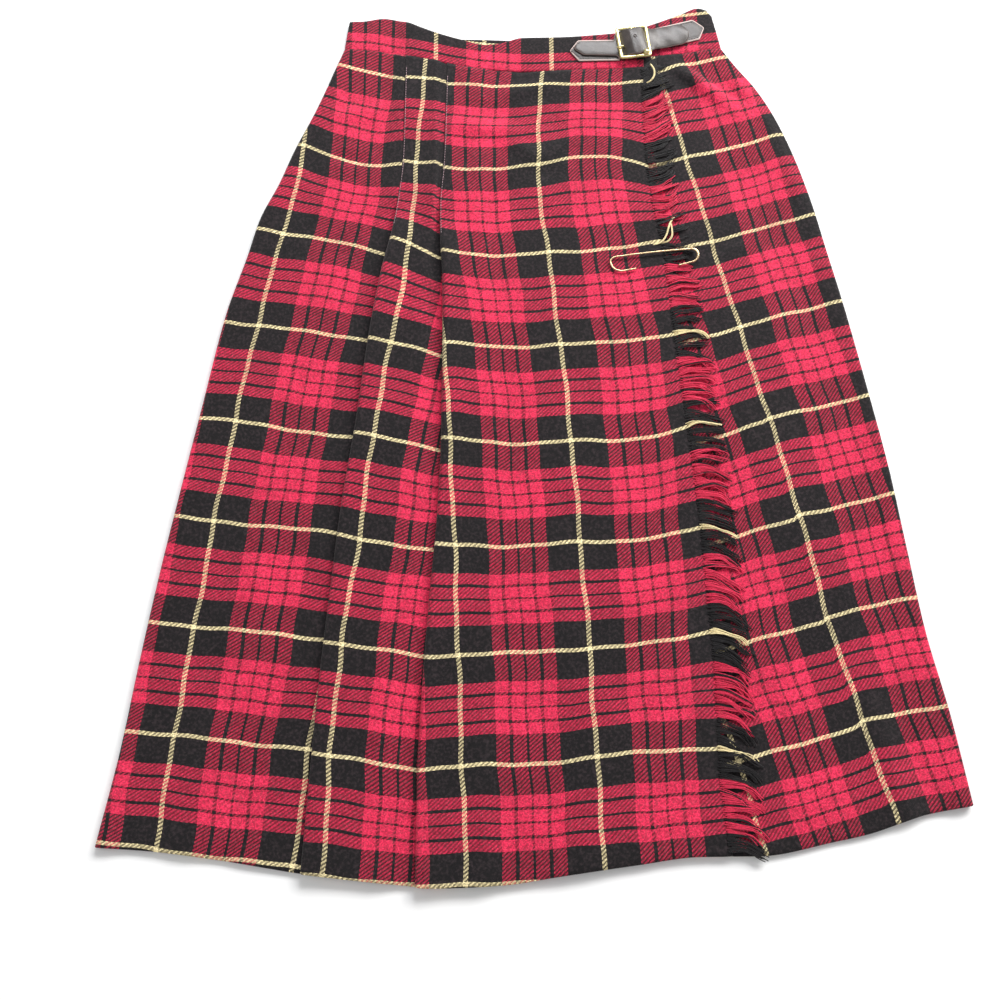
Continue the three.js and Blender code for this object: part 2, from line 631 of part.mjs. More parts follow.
// Square frame with a middle bar and a rounded knob at one corner.
function buckleFrame() {
  const { width, height, bar, thick, round } = FRAME;
  const outline = roundedRectangle(new THREE.Shape(), -width / 2, -height / 2, width / 2,
    height / 2, round);
  const inside = height / 2 - bar;
  for (const side of [-1, 1]) {
    const a = side < 0 ? -width / 2 + bar : bar / 2;
    const b = side < 0 ? -bar / 2 : width / 2 - bar;
    outline.holes.push(roundedRectangle(new THREE.Path(), a, -inside, b, inside, 1));
  }
  const frame = new THREE.ExtrudeGeometry(outline, {
    depth: thick - 1, bevelEnabled: true, bevelSize: 0.5, bevelThickness: 0.5, bevelOffset: -0.5,
    bevelSegments: 1, curveSegments: 3,
  });
  frame.translate(0, 0, 0.5);
  const knob = new THREE.SphereGeometry(2.7, 12, 8);
  knob.translate(width / 2 - bar / 2 - 0.2, -height / 2 + 3, thick - 0.4);
  return fromManifold(toManifold(frame).add(toManifold(knob)));
}

// Prong from below the strap's arch to its rest on the left bar.
function prong() {
  const path = new THREE.CatmullRomCurve3([
    new THREE.Vector3(-9.4, -1.5, 5.6), new THREE.Vector3(-12, -1.6, 4.9),
    new THREE.Vector3(-15, -1.8, 4.2), new THREE.Vector3(-16.6, -1.9, 3.9),
  ]);
  const section = new THREE.Shape();
  section.absarc(0, 0, 1.0, 0, Math.PI * 2, false);
  return new THREE.ExtrudeGeometry(section, {
    steps: 6, curveSegments: 4, extrudePath: path, bevelEnabled: false });
}

// Middle height of the strap along its own run, in the buckle's frame.
const STRAP_RISE = [
  { x: -60, z: -1.2 }, { x: -15.5, z: -1.2 }, { x: -12.6, z: -1.2 }, { x: -8, z: 1.4 },
  { x: -2.2, z: 3.8 }, { x: 2.2, z: 3.8 }, { x: 8, z: 1.4 }, { x: 12.6, z: -1.2 },
  { x: 15.5, z: -1.3 }, { x: 26, z: -3.8 }, { x: 54, z: -3.9 },
];

// Strap from the left tab, through the buckle, to its rounded tongue.
function strap() {
  const bend = (x) => (x < -16 ? (x + 16) * -Math.tan(STRAP_TURN + 0.02) : 0);
  const stops = [-56, -40, -26, -16, -12.6, -10, -7, -4, -2, 0, 2, 4, 7, 10, 12.6, 15.5, 19, 23,
    27, 35, 42, 45.5, 48, 49.8, 50.8];
  const halfAt = (x) => {
    const t = Math.max(0, (x - 42) / 9);
    return (STRAP.width / 2) * Math.sqrt(Math.max(0.02, 1 - t * t));
  };
  const grid = [-1, 0, 1].reverse().map((side) => stops.map((x) => [
    x, side * halfAt(x) + bend(x), along(STRAP_RISE, 'x', 'z', x), STRAP.thick,
  ]));
  return wall(grid);
}

// Leather tab with a pointed end, sewn to the waistband.
function tab(length) {
  const half = TAB.width / 2;
  const shape = new THREE.Shape();
  shape.moveTo(0, -half);
  shape.lineTo(length - TAB.point, -half);
  shape.lineTo(length, 0);
  shape.lineTo(length - TAB.point, half);
  shape.lineTo(0, half);
  shape.closePath();
  return new THREE.ExtrudeGeometry(shape, {
    depth: TAB.thick - 0.6, bevelEnabled: true, bevelSize: 0.3, bevelThickness: 0.3,
    bevelOffset: -0.3, bevelSegments: 1,
  }).translate(0, 0, 0.3);
}

function fastening() {
  const group = new THREE.Group();
  const leftTab = part('tab_left', tab(46), COLOURS.leather, 0, 0.55);
  leftTab.position.set(84.5, 351.5, 7.2);
  leftTab.rotation.z = Math.PI + 0.02;
  const rightTab = part('tab_right', tab(46), COLOURS.leather, 0, 0.55);
  rightTab.position.set(120.5, 363.6, 4.6);
  rightTab.rotation.z = STRAP_TURN;
  const buckle = new THREE.Group();
  buckle.position.set(BUCKLE_AT.x, BUCKLE_AT.y, BUCKLE_AT.z);
  buckle.rotation.z = STRAP_TURN;
  buckle.add(part('buckle_frame', buckleFrame(), COLOURS.brass, 1, 0.3));
  buckle.add(part('buckle_prong', prong(), COLOURS.brass, 1, 0.3));
  buckle.add(part('strap', strap(), COLOURS.leather, 0, 0.5));
  group.add(leftTab, rightTab, buckle);
  return group;
}

// ---- kilt pin ------------------------------------------------------------------------------

const PIN = { length: 72, gap: 14, wire: 1.8, turn: THREE.MathUtils.degToRad(6.4) };
const PIN_AT = { x: 75, y: 134 };

// Wire of the pin: short lower end, round end, upper bar.
function pinWire() {
  const points = [];
  const low = -PIN.gap;
  points.push(new THREE.Vector3(20, low + 0.6, 0.1));
  points.push(new THREE.Vector3(12, low + 0.2, 0.5));
  points.push(new THREE.Vector3(4, low, 0.6));
  points.push(new THREE.Vector3(-2.5, low + 2.2, 0.7));
  points.push(new THREE.Vector3(-4.6, low + 6.5, 0.8));
  points.push(new THREE.Vector3(-4.2, low + 11, 0.9));
  points.push(new THREE.Vector3(-0.5, low + 13.6, 0.9));
  points.push(new THREE.Vector3(6, 0, 0.9));
  points.push(new THREE.Vector3(PIN.length * 0.5, 0.6, 0.9));
  points.push(new THREE.Vector3(PIN.length - 5.6, 0.2, 0.9));
  const section = new THREE.Shape();
  section.absarc(0, 0, PIN.wire / 2, 0, Math.PI * 2, false);
  return new THREE.ExtrudeGeometry(section, {
    steps: 36, curveSegments: 4, extrudePath: new THREE.CatmullRomCurve3(points),
    bevelEnabled: false,
  });
}

// Clasp that closes over both wires at the right end.
function pinClasp() {
  const shape = new THREE.Shape();
  shape.moveTo(0, 2);
  shape.lineTo(7, 2);
  shape.quadraticCurveTo(12.5, 0.5, 12.5, -6);
  shape.quadraticCurveTo(12.5, -13, 7, -15.5);
  shape.lineTo(2.5, -15.5);
  shape.lineTo(2.5, -12);
  shape.quadraticCurveTo(8, -11, 8, -6);
  shape.quadraticCurveTo(8, -2.6, 4, -2.4);
  shape.lineTo(0, -2.4);
  shape.closePath();
  return new THREE.ExtrudeGeometry(shape, {
    depth: 1.8, bevelEnabled: true, bevelSize: 0.4, bevelThickness: 0.4, bevelOffset: -0.4,
    bevelSegments: 1, curveSegments: 5,
  });
}

// Point of the pin where it comes back out of the cloth and into the clasp.
function pinPoint() {
  const path = new THREE.LineCurve3(new THREE.Vector3(PIN.length - 17, -13.4, 0.2),
    new THREE.Vector3(PIN.length - 3.4, -13.7, 0.6));
  const section = new THREE.Shape();
  section.absarc(0, 0, 0.8, 0, Math.PI * 2, false);
  return new THREE.ExtrudeGeometry(section, {
    steps: 1, curveSegments: 4, extrudePath: path, bevelEnabled: false });
}

function kiltPin() {
  const group = new THREE.Group();
  const base = layerHeight(2) + CLOTH / 2 + SEAM + PIN.wire / 2 + 2.2;
  group.position.set(PIN_AT.x, PIN_AT.y, base);
  group.rotation.z = PIN.turn;
  group.add(part('pin_wire', pinWire(), COLOURS.brass, 1, 0.3));
  const clasp = part('pin_clasp', pinClasp(), COLOURS.brass, 1, 0.3);
  clasp.position.set(PIN.length - 5, 0, -0.6);
  group.add(clasp);
  group.add(part('pin_point', pinPoint(), COLOURS.brass, 1, 0.3));
  return group;
}

// ---- skirt ---------------------------------------------------------------------------------

const skirt = new THREE.Group();
skirt.add(part('back_panel', backPanel(), COLOURS.under));
skirt.add(part('left_front', leftFront(), COLOURS.cloth));
skirt.add(part('pleat_panel', pleatPanel(), COLOURS.cloth));
skirt.add(part('over_apron', overApron(), COLOURS.cloth));
skirt.add(part('under_apron', underApron(), COLOURS.under));
skirt.add(part('apron_fringe', fringe(), COLOURS.fringe));
skirt.add(part('waistband_back', backBand(), COLOURS.band));
skirt.add(part('waistband_under', underBand(), COLOURS.band));
skirt.add(part('waistband_front', frontBand(), COLOURS.band));
skirt.add(fastening());
skirt.add(kiltPin());

export default skirt;
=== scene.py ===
"""Looks of a pleated tartan wrap skirt, laid out flat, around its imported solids.

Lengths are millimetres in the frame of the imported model: X across the skirt, Y from hem to
waistband and Z up from the surface below. MM turns them into metres where a mesh is made.
"""

import logging
import math
from dataclasses import dataclass
from enum import Enum
from typing import Any, Callable, NamedTuple, Optional, Sequence, Union

import bmesh
import bpy
import numpy as np
from mathutils import Matrix, Vector


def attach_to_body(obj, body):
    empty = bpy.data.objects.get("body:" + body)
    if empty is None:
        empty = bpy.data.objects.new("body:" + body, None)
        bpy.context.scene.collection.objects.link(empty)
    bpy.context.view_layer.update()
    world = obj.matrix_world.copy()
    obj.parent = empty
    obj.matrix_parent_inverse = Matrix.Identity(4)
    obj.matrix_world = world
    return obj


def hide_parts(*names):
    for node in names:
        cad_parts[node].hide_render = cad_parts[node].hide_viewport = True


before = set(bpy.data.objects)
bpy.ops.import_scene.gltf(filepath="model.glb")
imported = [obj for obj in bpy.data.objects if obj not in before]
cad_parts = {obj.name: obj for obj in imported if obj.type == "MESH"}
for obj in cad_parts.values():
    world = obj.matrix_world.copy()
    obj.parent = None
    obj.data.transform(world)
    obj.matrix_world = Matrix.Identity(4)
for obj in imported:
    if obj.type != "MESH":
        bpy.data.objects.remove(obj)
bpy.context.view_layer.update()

LOG = logging.getLogger("skirt")
Array = np.ndarray
Number = Union[float, Array]
Colour = tuple[float, float, float]
Profile = Callable[[Array], Array]  # a place or height for each place across
Signal = bpy.types.NodeSocket
Node = bpy.types.Node
Tree = bpy.types.NodeTree
Material = bpy.types.Material
Mesh = bpy.types.Mesh
Piece = bpy.types.Object
MM = 0.001
SEED = 11

# ---- sizes of the skirt ----

CLOTH = 1.5  # wall of the woollen cloth
CLEAR = 0.5  # space between two layers that lie on each other
SEAM = 0.3  # gap where two pieces are sewn together
LAYER = CLOTH + CLEAR  # height from one layer to the next
SIDE_TURN = 30.0  # how far a side wraps under to its seam with the back
TUCK = 6.0  # from the inner crease of pleat B to the under apron's free edge
BROAD_FOLD = 35.0  # half width from which a fold reaches the hidden layers
RELEASE = 0.225  # share of the way down where the pleats are let go
PRESS = 3.3  # how far a layer is pressed up beside a fold that is sewn down
PRESS_RUN = 20.0  # how far from the fold it starts to rise
PRESS_END = 1.7  # how far from the fold it drops under it


class Edge(NamedTuple):
    """Where each long edge lies, by the share of the way down from waist seam to hem."""

    down: float
    left: float
    pleat_a: float
    pleat_b: float
    fringe: float
    right: float


EDGES = (
    Edge(0.00, -176.5, -117.5, -78.5, 107.5, 182.5),
    Edge(0.03, -184.5, -117.5, -78.7, 107.5, 196.0),
    Edge(0.06, -192.0, -117.5, -79.0, 107.5, 211.0),
    Edge(0.10, -203.0, -117.5, -79.3, 107.8, 226.0),
    Edge(0.15, -218.5, -118.0, -80.5, 108.4, 239.5),
    Edge(0.20, -231.5, -121.0, -83.0, 112.5, 250.0),
    Edge(0.25, -247.0, -125.5, -82.0, 118.0, 258.5),
    Edge(0.30, -256.0, -133.5, -79.5, 122.8, 265.5),
    Edge(0.38, -271.8, -142.8, -78.5, 127.0, 277.0),
    Edge(0.50, -287.0, -152.5, -78.5, 134.5, 292.0),
    Edge(0.60, -299.5, -162.0, -81.0, 140.5, 303.5),
    Edge(0.70, -311.5, -168.5, -86.5, 144.5, 312.0),
    Edge(0.80, -322.0, -174.5, -91.0, 147.5, 320.5),
    Edge(0.90, -331.5, -178.5, -93.3, 147.5, 334.0),
    Edge(1.00, -344.5, -182.5, -93.5, 152.5, 344.5),
)


class Spot(NamedTuple):
    """A point of a line that runs across the skirt."""

    x: float
    y: float


WAIST_SEAM = (
    Spot(-176.5, 355.5), Spot(-150, 353.5), Spot(-123, 347.5), Spot(-92, 340.5), Spot(-66, 334.5),
    Spot(-37, 330.5), Spot(-4, 329), Spot(39, 331), Spot(88, 333), Spot(108, 334.5),
)
UNDER_SEAM = (Spot(-45, 333), Spot(60, 340), Spot(115, 347), Spot(183, 356))
HEM = (
    Spot(-344.5, -371.5), Spot(-300, -374.5), Spot(-244, -381.5), Spot(-183, -391),
    Spot(-105, -399.5), Spot(-83, -401.5), Spot(-28, -399.5), Spot(21, -392.5), Spot(79, -384.5),
    Spot(127, -378.5), Spot(175, -378), Spot(233, -367.5), Spot(261, -361.5), Spot(305, -347.5),
    Spot(344.5, -340),
)
BAND_TOP = (
    Spot(-176, 386), Spot(-160, 386.5), Spot(-141, 389.5), Spot(-122, 385.5), Spot(-107, 378.5),
    Spot(-85, 369.5), Spot(-68, 364), Spot(-42, 357.5), Spot(-28, 359.5), Spot(-8, 366),
    Spot(30, 367), Spot(108, 374),
)
UNDER_BAND_TOP = (
    Spot(-45, 356), Spot(60, 366), Spot(112, 381), Spot(148, 395.5), Spot(162, 401.5),
    Spot(170, 399.5), Spot(176, 391.5),
)
BACK_BAND_TOP = (
    Spot(-176, 384), Spot(-141, 386), Spot(-107, 376), Spot(-75, 368.5), Spot(-40, 367.5),
    Spot(-10, 366.5), Spot(108, 372), Spot(162, 398), Spot(176, 389),
)


class Crest(NamedTuple):
    """Height of each pleat's folded edge above its flat layer, by the share of the way down."""

    down: float
    pleat_a: float
    pleat_b: float


PLEAT_CREST = (
    Crest(0.00, 0.2, 0.2), Crest(0.21, 0.3, 0.3), Crest(0.27, 6.0, 5.5), Crest(0.38, 4.5, 5.0),
    Crest(0.60, 2.5, 3.0), Crest(1.00, 2.2, 2.6),
)


class Fold(NamedTuple):
    """A soft fold: its centre, turn from +X in degrees, half sizes and height."""

    x: float
    y: float
    turn: float
    length: float
    width: float
    height: float


# Main folds, as in the solids.
FOLDS = (
    Fold(25, -30, 84, 250, 75, 2.6),  # over apron body
    Fold(-235, -120, 80, 190, 42, 2.2),  # left front body
    Fold(235, -80, -78, 210, 45, 2.4),  # under apron body
    Fold(-196, 190, 68, 80, 20, 2.6),  # hip beside pleat
    Fold(-156, 135, 72, 42, 13, -1.8),  # hollow beside pleat
    Fold(163, 318, -42, 30, 8, 4.5),  # right hip ridge
    Fold(214, 250, -58, 60, 20, 2.2),  # right hip fall
    Fold(4, 236, 28, 30, 9, 1.5),  # apron crease
    Fold(286, -325, -76, 62, 11, 3.6),  # hem wave right
    Fold(40, -350, 86, 90, 24, 2.0),  # hem wave middle
    Fold(-272, -340, 78, 70, 16, 2.2),  # hem wave left
)
# Finer creases, which only the visible layers have.
CREASES = (
    Fold(-166, 236, -12, 11, 6, -2.2),  # dimple on the left hip
    Fold(-170, 226, -12, 16, 6, 1.3),
    Fold(-214, 214, -30, 22, 8, 0.9),
    Fold(-176, 268, 62, 34, 9, 0.8),
    Fold(-150, 300, 80, 26, 7, -0.6),
    Fold(-160, 284, 8, 24, 8, 1.9),
    Fold(-44, 286, -6, 28, 7, -1.9),  # soft dents of the over apron
    Fold(-42, 267, -4, 34, 7, 3.2),
    Fold(-2, 309, 10, 26, 7, 2.4),
    Fold(-42, 250, -8, 16, 6, -1.5),
    Fold(-8, 246, -30, 14, 7, 2.6),
    Fold(6, 222, -14, 26, 7, -0.9),
    Fold(30, 250, 20, 30, 9, 0.7),
    Fold(-20, 300, 8, 36, 10, 0.6),
    Fold(60, 292, -12, 30, 9, -0.6),
    Fold(174, 321, -41, 32, 5.0, -4.4),  # trough beside the right hip ridge
    Fold(160, 313, -41, 36, 4.5, 2.4),
    Fold(150, 336, -20, 22, 6, -0.8),
    Fold(214, 286, -56, 34, 8, 1.2),
    Fold(174, 150, 40, 15, 4.5, -1.5),  # wrinkles of the under apron
    Fold(183, 143, 36, 15, 4.5, 1.3),
    Fold(228, 128, -70, 60, 12, -0.7),
    Fold(262, 20, -76, 90, 14, -0.6),
    Fold(196, -60, -74, 80, 16, 0.7),
    Fold(226, -250, -72, 70, 12, -0.9),
    Fold(300, -290, -78, 60, 10, -1.3),
    Fold(-248, 40, 74, 80, 14, 0.7),
    Fold(-216, -40, 78, 90, 14, -0.6),
    Fold(-298, -250, 80, 70, 12, 0.8),
    Fold(-240, -330, 84, 50, 10, -0.9),
    Fold(-10, -120, 86, 110, 16, -0.6),
    Fold(70, -180, 82, 120, 14, 0.6),
    Fold(100, -330, 84, 50, 11, -0.8),
    Fold(-40, -350, 88, 46, 12, 0.7),
    Fold(-110, -60, 82, 90, 9, 0.6),
    Fold(-136, -280, 84, 80, 9, -0.5),
)


class BandFace(NamedTuple):
    """Underside and upper face of the front waistband, which rides over the pleats."""

    x: float
    under: float
    over: float


FRONT_BAND = (
    BandFace(-176, 2.3, 4.4), BandFace(-128, 2.3, 4.6), BandFace(-112, 4.2, 8.0),
    BandFace(-60, 4.4, 8.2), BandFace(-40, 4.6, 8.0), BandFace(-15, 4.6, 6.9),
    BandFace(108, 4.6, 6.9),
)
BAND = 2.0  # folded waistband, two cloths and its allowance
BACK_BAND_MIDDLE = BAND / 2
UNDER_BAND_MIDDLE = BAND * 1.5 + SEAM


class Knot(NamedTuple):
    """Where a yellow line down the cloth meets the yellow line of a row across it."""

    row: float
    x: float
    y: float


class Lean(NamedTuple):
    """How a row runs away from a line: its rise, bow, sag and step, and its repeats.

    Repeat is the check's repeat to the left of the line and wide the one to its right.
    """

    row: float
    left: float
    right: float
    bow: float = 0.0
    sag: float = 0.0
    step: float = 0.0
    repeat: float = 108.0
    wide: float = 108.0


# ---- curves through tables ----


def along(table: Sequence[Any], key: str, column: str, at: Number) -> Array:
    """Reads a table's column as a smooth curve through its rows that never swings past them.

    Args:
        table: Rows with named columns, in rising order of the key.
        key: Name of the column that the place is given in.
        column: Name of the column to read.
        at: Place or places along the key.

    Returns:
        The column's value at each place, held level past both ends.
    """
    keys = np.array([getattr(row, key) for row in table], float)
    values = np.array([getattr(row, column) for row in table], float)
    return hermite(keys, values, np.clip(at, keys[0], keys[-1]))


def hermite(keys: Array, values: Array, at: Number) -> Array:
    """Gives the smooth curve through the points, straight on past both ends.

    Args:
        keys: Rising places of the points.
        values: Value at each place.
        at: Where to read the curve.

    Returns:
        The curve's value at each place.
    """
    slopes = np.diff(values) / np.diff(keys)
    before, after = slopes[:-1], slopes[1:]
    same_way = before * after > 0
    total = np.where(same_way, before + after, 1.0)
    inner = np.where(same_way, 2 * before * after / total, 0.0)
    tangents = np.concatenate([slopes[:1], inner, slopes[-1:]])
    at = np.asarray(at, float)
    i = np.clip(np.searchsorted(keys, at) - 1, 0, len(keys) - 2)
    span = keys[i + 1] - keys[i]
    t = np.clip((at - keys[i]) / span, 0, 1)
    near = (1 + 2 * t) * (1 - t) ** 2 * values[i]
    far = t * t * (3 - 2 * t) * values[i + 1]
    lean = t * (1 - t) * span * ((1 - t) * tangents[i] - t * tangents[i + 1])
    past = np.minimum(0, at - keys[0]) * tangents[0] + np.maximum(0, at - keys[-1]) * tangents[-1]
    return near + far + lean + past


def mix(a: Number, b: Number, t: Number) -> Number:
    """Goes from a to b as t goes from 0 to 1."""
    return a + (b - a) * t


def smooth(start: Number, stop: Number, at: Number) -> Array:
    """Goes softly from 0 at start to 1 at stop."""
    t = np.clip((at - start) / (stop - start), 0, 1)
    return t * t * (3 - 2 * t)


def edge(name: str, down: Number) -> Array:
    """Gives a long edge's place across the skirt."""
    return along(EDGES, "down", name, down)


def layer_height(n: float) -> float:
    """Gives the middle height of the n-th layer, before any soft fold."""
    return CLOTH / 2 + n * LAYER


def fold_sum(folds: Sequence[Fold], x: Number, y: Number, least: float = 0.0) -> Array:
    """Adds up soft folds at a place.

    Args:
        folds: The folds to add.
        x: Places across the skirt.
        y: Places along it.
        least: Half width below which a fold is left out.

    Returns:
        The height that the folds give.
    """
    total = np.zeros(np.broadcast(x, y).shape)
    for fold in folds:
        if fold.width < least:
            continue
        turn = math.radians(fold.turn)
        dx, dy = x - fold.x, y - fold.y
        run = (dx * math.cos(turn) + dy * math.sin(turn)) / fold.length
        side = (-dx * math.sin(turn) + dy * math.cos(turn)) / fold.width
        total = total + fold.height * np.exp(-(run * run + side * side))
    return total


class Ripple(NamedTuple):
    """A faint wave of the cloth: wavelengths across and along, phase and height."""

    across: float
    length: float
    phase: float
    height: float


RIPPLES = (
    Ripple(83.0, 190.0, 0.4, 0.22), Ripple(-61.0, 140.0, 2.1, 0.16), Ripple(47.0, -92.0, 4.0, 0.10),
    Ripple(-35.0, -71.0, 1.3, 0.08), Ripple(24.0, 53.0, 5.2, 0.05),
)
BASE_LIFT = 0.6  # how far the upper layers stand off the ones below everywhere


def ripple(x: Number, y: Number) -> Array:
    """Gives the faint unevenness of cloth that lies loose."""
    waves = (r.height * np.sin(2 * np.pi * (x / r.across + y / r.length) + r.phase) for r in RIPPLES)
    return sum(waves)


def lift(x: Number, y: Number, hidden: Number = 0.0) -> Array:
    """Gives how far folds lift a layer; a hidden one follows only the broad folds, lower."""
    seen = np.maximum(0, BASE_LIFT + fold_sum(FOLDS, x, y))
    fine = fold_sum(CREASES, x, y) + ripple(x, y)
    below = np.maximum(0, BASE_LIFT + fold_sum(FOLDS, x, y, BROAD_FOLD))
    return mix(np.maximum(0.1, seen + fine), 0.8 * below, hidden)


def drop(x0: Number, x1: Number, down: Number, seam: Sequence[Spot] = WAIST_SEAM,
         short: Number = 0.0) -> Array:
    """Gives the place along Y of a thread that is at x0 on the seam and x1 on the hem."""
    return mix(along(seam, "x", "y", x0), along(HEM, "x", "y", x1) + short, down)


def depth_a(down: Number) -> Number:
    """Gives the depth of the cloth folded under pleat A."""
    return mix(25.0, 48.0, down)


def depth_b(down: Number) -> Number:
    """Gives the depth of the cloth folded under pleat B."""
    return mix(28.0, 50.0, down)


def side_roll(down: Number) -> Array:
    """Gives the soft roll of the cloth where it turns round a side."""
    return mix(1.2, 3.2, smooth(0, 0.25, down))


def scatter(n: int, salt: int) -> float:
    """Gives a repeatable number from 0 to 1 for a strand."""
    s = math.sin(n * 12.9898 + salt * 78.233) * 43758.5453
    return s - math.floor(s)


# ---- the check ----

REPEAT = 108.0  # one repeat of the check across the cloth
ROW = 88.0  # one repeat of the check down the cloth
BACK_KNOT = Spot(-43.5, 326.0)  # where two of the back's yellow lines cross


@dataclass(frozen=True)
class Check:
    """Where the check lies on a panel, from one yellow line down it.

    Places on the cloth are given in repeats: a yellow line lies at each whole number.
    """

    line: float
    knots: tuple[Knot, ...]
    leans: tuple[Lean, ...]

    def at(self, x: Array, y: Array) -> tuple[Array, Array]:
        """Args:
            x: Places across the skirt.
            y: Places along it.

        Returns:
            Repeats across and repeats down.
        """
        rows = np.array([k.row for k in self.knots], float)
        xs = np.array([k.x for k in self.knots], float)
        ys = np.array([k.y for k in self.knots], float)
        down = hermite(-ys, rows, -y)
        for _ in range(5):
            across = x - hermite(rows, xs, down)
            down = hermite(-ys, rows, -(y - self.rise(across, down)))
        across = x - hermite(rows, xs, down)
        sides = [along(self.leans, "row", side, down) for side in ("repeat", "wide")]
        repeats = self.line + across / np.where(across < 0, *sides)
        wander = 0.006 * np.sin(down * 5.1 + repeats * 2.3) + 0.004 * np.sin(down * 11.7 + 1.3)
        sway = 0.008 * np.sin(repeats * 6.3 + down * 1.9) + 0.004 * np.sin(repeats * 17.0 + down * 3.1)
        return repeats + wander, down + sway

    def rise(self, across: Array, down: Array) -> Array:
        """Gives how far a row has risen at a distance across from the line."""
        left, right, bow, sag, step = (along(self.leans, "row", name, down)
                                       for name in ("left", "right", "bow", "sag", "step"))
        sagged = sag * np.sin(np.pi * np.clip(-across / SAG_RUN, 0, 1))
        before = left * across - sagged - step * smooth(0, STEP_RUN, -across)
        after = right * across + bow * np.maximum(0, across - BOW_START) ** 2
        return np.where(across < 0, before, after)


BOW_START = 20.0  # where a row starts to bow to the right of its line
SAG_RUN = 95.0  # how far to the left of its line a row sags
STEP_RUN = 6.0  # how far a row's step to the left of its line takes
OVER_CHECK = Check(
    0,
    (Knot(0, 10.5, 314.5), Knot(1, 6.5, 228.5), Knot(2, 14.5, 140.5), Knot(3, 24.5, 50.5),
     Knot(4, 32.5, -39.5), Knot(5, 38.5, -127.5), Knot(6, 44.5, -216.5), Knot(7, 48.5, -303.5),
     Knot(8, 53.5, -394)),
    (Lean(0, 0, 0, .0008, 1.5, 0, 112, 105), Lean(1, .03, .28, -.0045, 2.5, 0, 108, 106),
     Lean(2, 0, 0, .0016, 5, 0, 108, 110), Lean(3, 0, 0, .0017, 3.5, 0, 102, 117),
     Lean(4, -.01, 0, .0020, 2.5, 0, 104, 117), Lean(5, .03, 0, .0018, 3, 0, 105, 115),
     Lean(6, .056, .05, .0014, 1, 0, 107, 111), Lean(7, .066, .12, -.0008, 1.5, 0, 107, 108),
     Lean(8, .05, .08, 0, 0, 0, 108, 106)),
)
PLEAT_CHECK = Check(
    -1,
    (Knot(0, -100.5, 320.5), Knot(1, -105.5, 230.5), Knot(2, -110.5, 147.5),
     Knot(3, -124.5, 52.5), Knot(4, -137.5, -35.5), Knot(5, -146.5, -125.5),
     Knot(6, -157.5, -213.5), Knot(7, -163.5, -302.5), Knot(8, -165.5, -393.5)),
    (Lean(0, -.14, -.165), Lean(1, -.10, -.08), Lean(2, -.24, -.40, wide=120),
     Lean(3, -.15, -.285, wide=120), Lean(4, -.20, -.18, wide=110), Lean(5, -.15, -.15),
     Lean(7, -.15, -.15), Lean(8, -.09, -.085)),
)
LEFT_CHECK = Check(
    -2,
    (Knot(0, -212.5, 343.3), Knot(1, -210.5, 249.5), Knot(2, -225.5, 159.5),
     Knot(3, -243.5, 69.5), Knot(4, -257.5, -20.5), Knot(5, -269.5, -109.5),
     Knot(6, -279.5, -198.5), Knot(7, -289.5, -286.5), Knot(8, -297.5, -373.5)),
    (Lean(0, -.10, -.20, -.0006, wide=113), Lean(1, -.18, -.40, .0032, wide=99),
     Lean(2, -.18, -.14, -.0014, wide=104), Lean(3, -.10, -.14, wide=107),
     Lean(4, -.10, -.16, .0002, wide=107), Lean(5, -.10, -.10, wide=110),
     Lean(6, -.10, -.10, wide=111), Lean(7, -.10, -.10), Lean(8, -.12, -.12)),
)
UNDER_CHECK = Check(
    1,
    (Knot(0, 121.5, 331), Knot(1, 144.5, 237.5), Knot(2, 163.5, 152.5), Knot(3, 183.5, 67.5),
     Knot(4, 204.5, -18.5), Knot(5, 224.5, -104.5), Knot(6, 241.5, -190.5),
     Knot(7, 263.5, -275.5)),
    (Lean(0, .24, .24, 0, 0, 0, 105, 105), Lean(1, .26, .26, 0, 0, 0, 105, 105),
     Lean(3, .30, .28, 0, 0, 0, 105, 105), Lean(4, .30, .25, 0, 0, 2, 105, 105),
     Lean(5, .28, .225, 0, 0, 3, 105, 105), Lean(6, .28, .215, 0, 0, 3, 104, 104),
     Lean(7, .28, .195, 0, 0, 3, 102, 102)),
)


# ---- shader graphs ----


